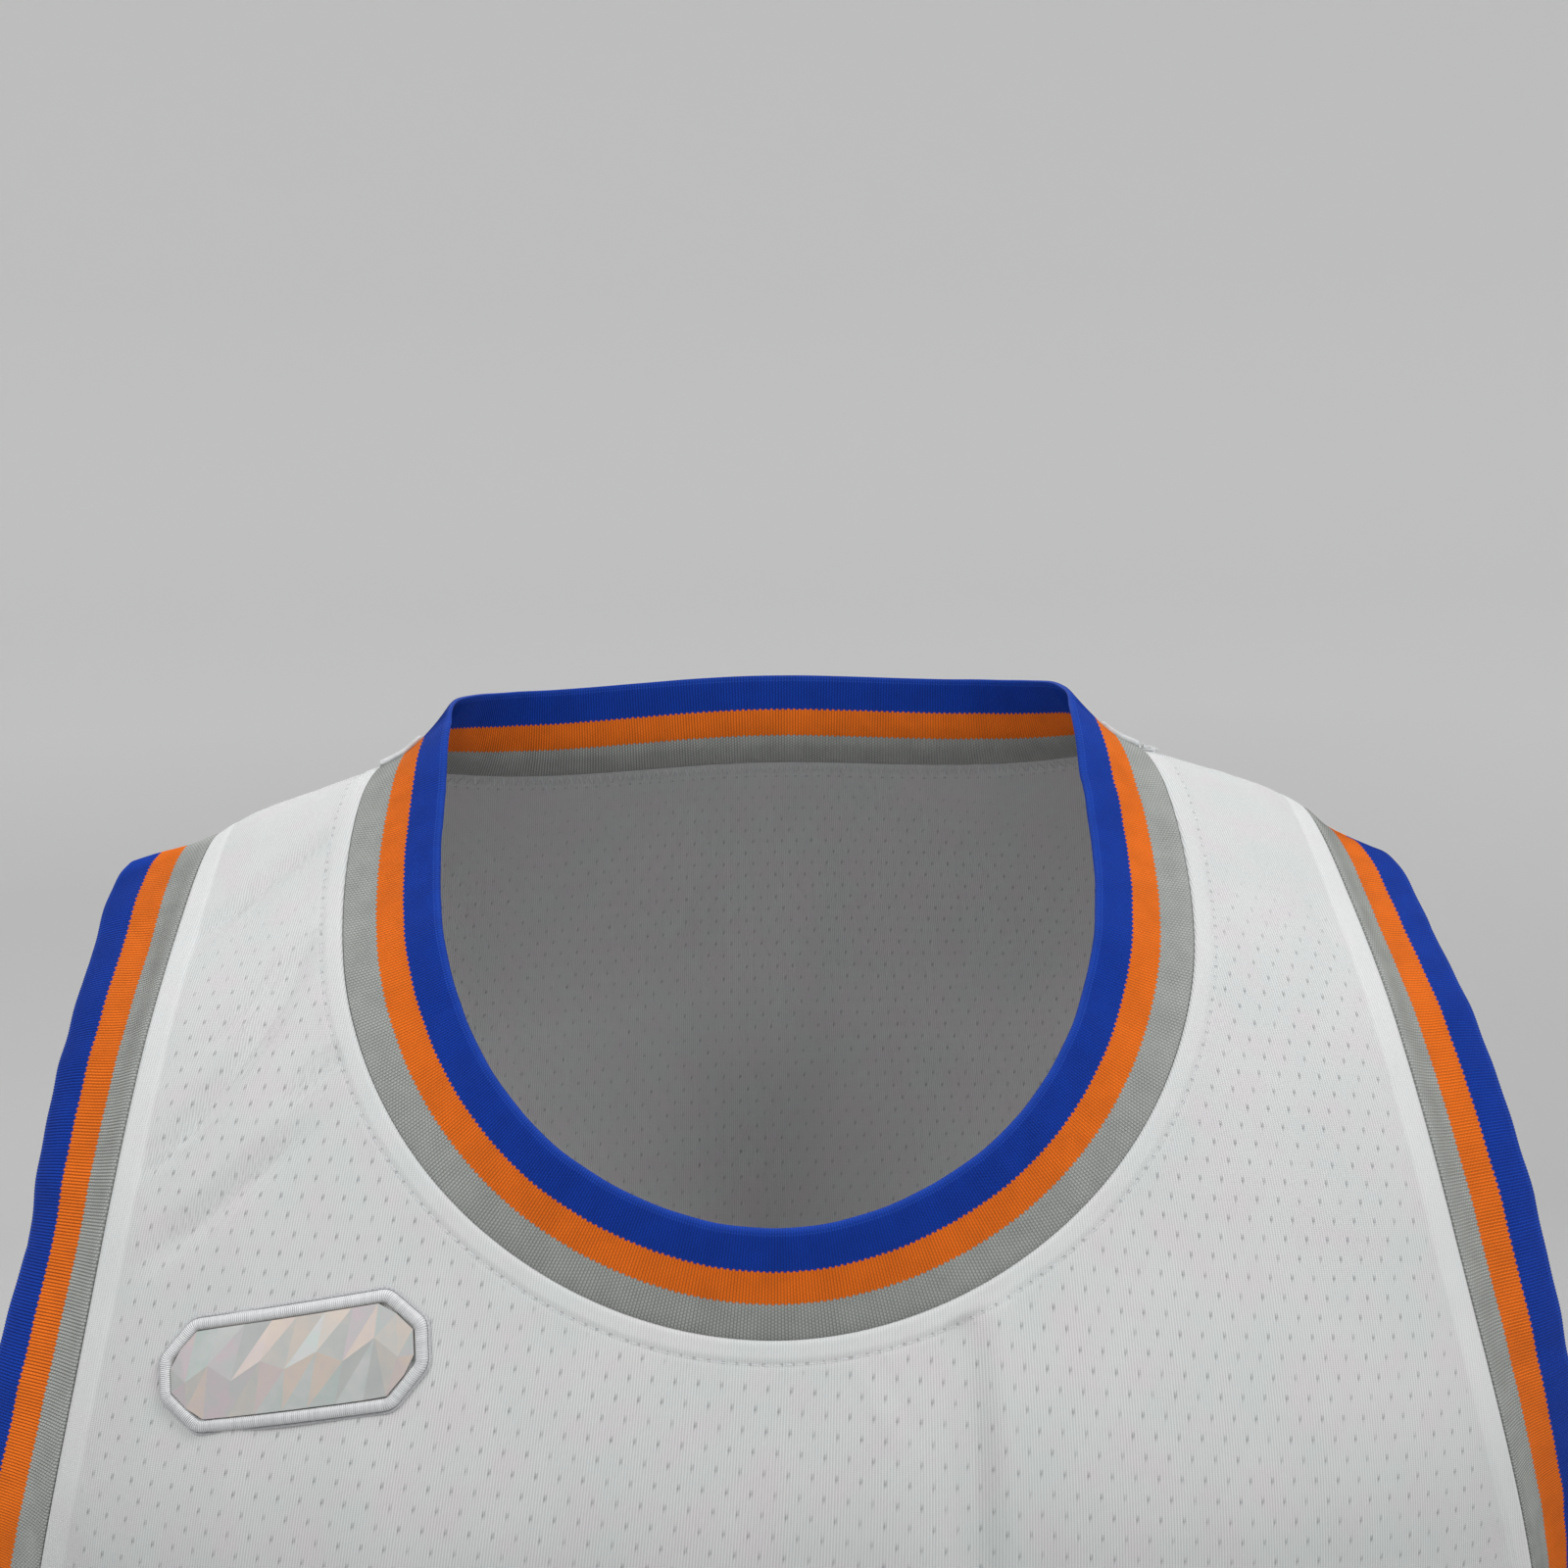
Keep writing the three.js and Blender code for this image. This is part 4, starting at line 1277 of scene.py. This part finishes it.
def make_stitches(name, centres, along, up, length, thick):
    """One thread at each centre, sunk into the cloth by a share of its thickness."""
    along = unit(along)
    side = unit(np.cross(up, along))
    up = np.cross(along, side)
    rings = []
    for place, size in stitch_profile:
        dip = (0.35 * (2 * abs(place)) ** 3 + stitch_sink) * thick
        for k in range(stitch_sides):
            angle = 2 * math.pi * k / stitch_sides
            half = thick / 2 * size
            rings.append(centres + along * (place * length) + side * (math.cos(angle) * half)
                         + up * (math.sin(angle) * half * 0.9 - dip + thick / 2))
    profile_rows = len(stitch_profile)
    points = np.stack(rings, axis=1)
    faces = []
    for n in range(len(centres)):
        faces += tube_faces(profile_rows, stitch_sides, n * profile_rows * stitch_sides)
    lengths = np.repeat([row[0] * length for row in stitch_profile], stitch_sides)
    sides = np.tile(np.arange(stitch_sides) / stitch_sides * 3.14 * thick, profile_rows)
    uv = np.tile(np.stack([lengths, sides], axis=1), (len(centres), 1))
    make_piece(name, points.reshape(-1, 3), faces, white_thread, uv)


def row_beside_neck(count, distance):
    """The cloth at even places beside the neck, and the ways along the neck and towards it."""
    places, _ = even_loop(neck_run_places(run_steps), count)
    points, normals = cloth_at(places[:, 0], places[:, 1])
    along = way_along(points)
    away = unit(np.cross(normals, along))
    places = inward(places, -away, distance)
    return Skin(places[:, 0], places[:, 1]), along, away


def stitch_neck():
    skin, _, _ = row_beside_neck(round(neck_seam.length / neck_stitch_pitch), neck_strip)
    centres = skin.points(skin_out)
    make_stitches("neck_topstitching", centres, way_along(centres), skin.normals, *neck_stitch)


def stitch_hem(name, face):
    centres, along, normals = [], [], []
    for row in hem_rows:
        level = face * (hem_level - row)
        half = float(side_at(level)) - 3
        across = np.arange(-half, half, hem_stitch_pitch)
        skin = Skin(across, np.full(len(across), level))
        centres.append(skin.points(skin_out))
        along.append(np.gradient(centres[-1], axis=0))
        normals.append(skin.normals)
    centres, along, normals = (np.concatenate(part) for part in (centres, along, normals))
    make_stitches(name, centres, along, normals, *hem_stitch)


stitch_neck()
stitch_hem("front_hem_stitching", 1)
stitch_hem("back_hem_stitching", -1)

# %% [markdown]
# ## Where the shoulder seam meets the neck band
#
# At the neck end of each strap the shoulder seam's white tape runs on over the band as a thin
# pale sliver, and on the wearer's left a tuft of loose thread ends stands up at the corner. They
# are small, but the eye finds them against the grey rib.

# %% Lay the tapes and the loose thread ends
tape_thick, tape_level = 2.4, -1.5
tape_steps, tape_sides = 40, 10


def on_neck_band(index, run_offset, distance, out):
    """Points on the neck band's outer face: a little along from a column, and off the seam."""
    step = fine_neck.length / fine_neck.count
    place = index + run_offset / step
    column = np.round(place).astype(int) % fine_neck.count
    slip = ((place - np.round(place)) * step)[..., None] * fine_neck.along[column]
    away, normals = fine_neck.away[column], fine_neck.normals[column]
    level = fine_neck.places[column, 1]
    centre = fine_neck.points[column] + slip + away * seam_gap
    share, passed = distance / band_width, 0.0
    for part in np.linspace(0, 1, 15)[1:]:
        onward, _ = faced(away, normals, turn_from(neck_turns, level, share * part))
        centre = centre + onward * (share * (part - passed) * band_width)
        passed = part
    _, outward = faced(away, normals, turn_from(neck_turns, level, share))
    return centre + outward * (band_wall + out)[..., None]


def make_tape(name, side, reach, wide):
    """A sliver of tape over the neck band, from the seam outwards, on one side of the shirt."""
    across, level = fine_neck.places.T
    index = int(np.argmin(np.abs(level - tape_level) + 999 * (np.sign(across) != side)))
    angles = np.linspace(0, 2 * math.pi, tape_sides, endpoint=False)
    rings = []
    for share in np.arange(tape_steps + 1) / tape_steps:
        blunt = math.sqrt(max(1 - (2 * share - 1) ** 12, 0.02))
        half = wide / 2 * (1 - 0.55 * share) * blunt
        high = tape_thick * (1 - 0.4 * share) * blunt
        offset = np.cos(angles) * half + 0.15 * math.sin(share * 17)
        out = np.sin(angles) * high * 0.5 + high * 0.22
        rings.append(on_neck_band(index, offset, -0.2 + reach * share, out))
    faces = tube_faces(tape_steps + 1, tape_sides)
    uv = np.stack([np.repeat(np.linspace(0, reach, tape_steps + 1), tape_sides),
                   np.tile(np.linspace(0, wide, tape_sides), tape_steps + 1)], axis=1)
    make_piece(name, np.concatenate(rings), faces, white_thread, uv)


make_tape("neck_join_tape_left", 1, 15.5, 1.5)
make_tape("neck_join_tape_right", -1, 17.0, 2.2)


def make_strands(name, starts, ways, lengths, seed):
    """Thin curved threads, each from a point in the cloth outwards."""
    draw = np.random.default_rng(seed)
    steps, sides, thick = 12, 5, 0.36
    points, faces, uv = [], [], []
    for start, way, length in zip(starts, ways, lengths):
        bend = draw.normal(0, 1, 3)
        centre, way = np.array(start), way / np.linalg.norm(way)
        for k in range(steps + 1):
            side = unit(np.cross(way, [0.3, 0.5, 0.81]))
            other = np.cross(way, side)
            size = thick * (1 - 0.5 * (k / steps) ** 3)
            for n in range(sides):
                angle = 2 * math.pi * n / sides
                points.append(centre + (side * math.cos(angle) + other * math.sin(angle)) * size)
                uv.append((k * length / steps, n * 0.15))
            centre = centre + way * length / steps
            way = unit(way + bend * 0.2 + draw.normal(0, 0.1, 3))
        faces += tube_faces(steps + 1, sides, len(points) - (steps + 1) * sides)
    make_piece(name, points, faces, white_thread, uv)


strands = 20


def corner_threads():
    draw = np.random.default_rng(31)
    corner = Skin(strap_inner + draw.uniform(0.2, 4.0, strands), draw.uniform(-2.0, 1.5, strands))
    starts = corner.points(skin_out - 0.5)
    ways = corner.normals + draw.normal(0, 0.6, (strands, 3))
    make_strands("loose_thread_ends", starts, ways, draw.uniform(1.4, 3.6, strands), 32)


corner_threads()

# %% [markdown]
# ## The inside of the neck seam
#
# Inside, the seam's raw edges are bound by a looping overlock thread. It shows through the neck
# opening, so a row of slanted threads lies over the seam on the inner side.

# %% Bind the seam inside
overlock_pitch, overlock_distance, overlock_lean = 1.5, 2.6, 0.28
overlock_thread = (4.4, 0.42)


def bind_inside():
    count = round(neck_seam.length / overlock_pitch)
    skin, along, away = row_beside_neck(count, overlock_distance)
    centres = skin.inner_points(skin_in) - skin.normals * 0.15
    lean = np.where(np.arange(count) % 2 == 0, overlock_lean, -overlock_lean)[:, None]
    slanted = away + along * lean
    make_stitches("neck_overlock_inside", centres, slanted, -skin.normals, *overlock_thread)


bind_inside()

# %% [markdown]
# ## The badge
#
# On the wearer's right chest lies a long plate of pearly film inside a rim of satin stitches. The
# film is pressed in flat facets that each catch the light at their own angle, so the facets are
# real planes. The rim is made as it is sewn: threads side by side, each arched across the edge.

# %% The badge's outline on the cloth
badge_place, badge_turn = (-122, 172), 0.04
badge_length, badge_height, badge_corner = 62, 22, 7
badge_lift = 0.6
rim_width, rim_thick = 3.2, 1.5
film_gap = 0.12


def badge_middle_line(step):
    """The middle of the rim: an octagon with softened corners, at even steps, and the way out."""
    margin = seam_gap + rim_width / 2
    x, y = badge_length / 2 + margin, badge_height / 2 + margin
    cut = badge_corner + margin * 0.59
    corners = np.array([(-x + cut, y), (x - cut, y), (x, y - cut), (x, cut - y),
                        (x - cut, -y), (-x + cut, -y), (-x, cut - y), (-x, y - cut)])
    closed = np.concatenate([corners, corners[:1]])
    run = np.concatenate([[0], np.cumsum(np.hypot(*np.diff(closed, axis=0).T))])
    count = 4 * round(run[-1] / step / 4)
    target = np.linspace(0, run[-1], count + 1)[:-1]
    line = np.stack([np.interp(target, run, closed[:, k]) for k in (0, 1)], axis=1)
    reach = round(1.5 / step)
    line = sum(np.roll(line, shift, axis=0) for shift in range(-reach, reach + 1)) / (2 * reach + 1)
    along = way_along(line, 2)
    return line, np.stack([-along[:, 1], along[:, 0]], axis=1), run[-1]


def on_chest(plan, out):
    """A point of the badge's flat plan, lifted off the cloth's outer face."""
    x, y = plan[:, 0], plan[:, 1]
    across = badge_place[0] + x * math.cos(badge_turn) - y * math.sin(badge_turn)
    level = badge_place[1] - x * math.sin(badge_turn) - y * math.cos(badge_turn)
    middle, normals = cloth_at(across, level)
    return middle + lift + normals * (panel_wall / 2 + np.asarray(out)[..., None])


# %% [markdown]
# ### Pearly film and satin thread
#
# Pearly film shifts softly between peach, pink, pale green and silver. A value at each facet
# picks its tint, and a clear coat gives the wet highlights. The rim's threads are pale, with
# painted shade in the fine valleys between them, over the arches that the mesh has.

# %% The film's finish
twill_pitch = 0.45


def pearly_film():
    f = Finish("pearly_film")
    across, down = f.cloth()
    place = f.join(across, down)
    tint = f.plus(f.value("facet"), f.times(f.noise(place, 0.16), 0.35))
    stops = f.nodes.new("ShaderNodeValToRGB")
    tints = [(0.05, (178, 181, 180)), (0.3, (192, 194, 192)), (0.5, (214, 200, 188)),
             (0.68, (204, 192, 196)), (0.85, (186, 196, 192)), (1.0, (206, 206, 205))]
    while len(stops.color_ramp.elements) < len(tints):
        stops.color_ramp.elements.new(0.5)
    for element, (position, colour) in zip(stops.color_ramp.elements, tints):
        element.position, element.color = position, linear(*colour)
    f.give(stops.inputs[0], tint)
    twill = f.wave(f.plus(across, down), twill_pitch)
    f.set(Base_Color=stops.outputs[0], Normal=f.bump(twill, 0.00002, 0.35))
    f.set(Metallic=0.3, Roughness=0.34, Coat_Weight=0.45, Coat_Roughness=0.2)
    return f.material


film_finish = pearly_film()

# %% Press the film into facets
facet_columns, edge_corners = 9, 24
edge_high, crown_high = 1.0, 2.1


def make_film():
    line, out, _ = badge_middle_line(0.5)
    outline = line - out * (rim_width / 2 + film_gap)
    draw = np.random.default_rng(5)
    half_length, half_height = np.abs(outline).max(axis=0)
    crowns = []
    for k in range(facet_columns):
        x = mix(-half_length, half_length, (k + 0.5) / facet_columns) + draw.uniform(-1.2, 1.2)
        y = (0.22 if k % 2 else -0.2) * half_height + draw.uniform(-1, 1)
        crowns.append((x, y))
    crowns = np.array(crowns)
    # the outline keeps only a few corners, each joined to the crown nearest to it
    picks = np.linspace(0, len(outline), edge_corners + 1)[:-1].astype(int)
    edge = outline[picks]
    nearest = [int(np.argmin(np.abs(crowns[:, 0] - spot[0]))) for spot in edge]
    count = len(edge)
    crown_lifts = badge_lift + crown_high - draw.uniform(0, 0.5, facet_columns)
    high = np.concatenate([on_chest(edge, np.full(count, badge_lift + edge_high)),
                           on_chest(crowns, crown_lifts)])
    base = np.concatenate([on_chest(edge, np.full(count, badge_lift - 0.3)),
                           on_chest(crowns, np.full(facet_columns, badge_lift - 0.3))])
    tops = []
    for i in range(count):
        following = (i + 1) % count
        start, end = count + nearest[i], count + nearest[following]
        tops.append([i, following, start])
        if start != end:
            tops.append([following, end, start])
    points, values, uv, cells = [], [], [], []
    plan = np.concatenate([edge, crowns])
    # every facet has its own corners, so that its tint ends sharply at its edge
    for face in tops:
        cells.append([len(points) + n for n in range(len(face))])
        tint = draw.uniform(0, 0.8)
        for v in face:
            points.append(high[v])
            values.append(tint)
            uv.append(plan[v])
    skirt = len(points)
    points += list(high[:count]) + list(base)
    values += [0.2] * (count + len(base))
    uv += list(edge) + list(plan)
    for i in range(count):
        following = (i + 1) % count
        cells.append([skirt + following, skirt + i, skirt + count + i, skirt + count + following])
    for face in tops:
        cells.append([skirt + count + v for v in face[::-1]])
    piece = make_piece("badge_film", points, cells, film_finish, uv, {"facet": values}, 8)
    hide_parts("chest_badge")


make_film()

# %% Sew the rim
thread_pitch = 0.5
rim_sink, rim_rise = 0.5, 0.35


def make_rim():
    line, out, length = badge_middle_line(thread_pitch / 4)
    count = len(line)
    wave = 0.5 + 0.5 * np.cos(2 * np.pi * np.arange(count) / 4)
    section = []
    for turn in np.linspace(0, math.pi, 8):
        aside = -math.cos(turn) * rim_width / 2
        high = badge_lift - rim_sink + (rim_thick + rim_rise) * math.sin(turn) ** 0.6
        relief = 0.2 * (wave - 1) * math.sin(turn)
        section.append((aside, high + relief))
    section.append((0.0, np.full(count, badge_lift - 0.55)))
    points = np.stack([on_chest(line + out * aside, high) for aside, high in section], axis=1)
    rows = len(section)
    run = np.arange(count) * length / count
    uv = np.stack([np.repeat(run, rows), np.tile([part[0] for part in section], count)], axis=1)
    faces = loop_faces(count, rows)
    piece = make_piece("badge_satin_rim", points.reshape(-1, 3), faces, satin_finish, uv)
    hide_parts("chest_badge_border")


def satin():
    f = Finish("satin_thread")
    along, side = f.cloth()
    place = f.join(along, side)
    valley = f.ramp(f.off_middle(along, thread_pitch), 0.18, 0.5)
    each = f.noise(f.join(f.count(along, thread_pitch), 0.0), 1.3, 0.0)
    # painted shade in the valleys between the threads; a few threads are paler at random
    colour = f.mix(valley, linear(222, 223, 224), linear(140, 141, 146))
    colour = f.mix(f.ramp(each, 0.3, 0.7, 0.0, 0.35), colour, linear(238, 239, 240))
    f.set(Base_Color=colour, Normal=f.bump(f.noise(place, 3.0, 3.0), 0.00008, 0.5))
    f.set(Roughness=0.42, Sheen_Weight=0.2, Sheen_Roughness=0.35)
    return f.material


satin_finish = satin()
make_rim()


cord_step, cord_radius, cord_gap, cord_twist = 0.16, 0.4, 0.35, 0.9


def make_edge_cord():
    """A thin twisted thread laid round the outside of the rim."""
    line, out, length = badge_middle_line(cord_step)
    centre = line + out * (rim_width / 2 + cord_gap)
    count, sides = len(centre), 6
    run = np.arange(count) * length / count
    section = []
    for k in range(sides):
        angle = 2 * math.pi * k / sides
        radius = cord_radius * (1 + 0.16 * np.sin(2 * np.pi * run / cord_twist + 2 * angle))
        aside = centre + out * (math.cos(angle) * radius)[:, None]
        section.append(on_chest(aside, 0.25 + math.sin(angle) * radius))
    uv = np.stack([np.repeat(run, sides), np.tile(np.arange(sides) * 0.4, count)], axis=1)
    points = np.stack(section, axis=1).reshape(-1, 3)
    make_piece("badge_edge_cord", points, loop_faces(count, sides), badge_thread, uv)


make_edge_cord()
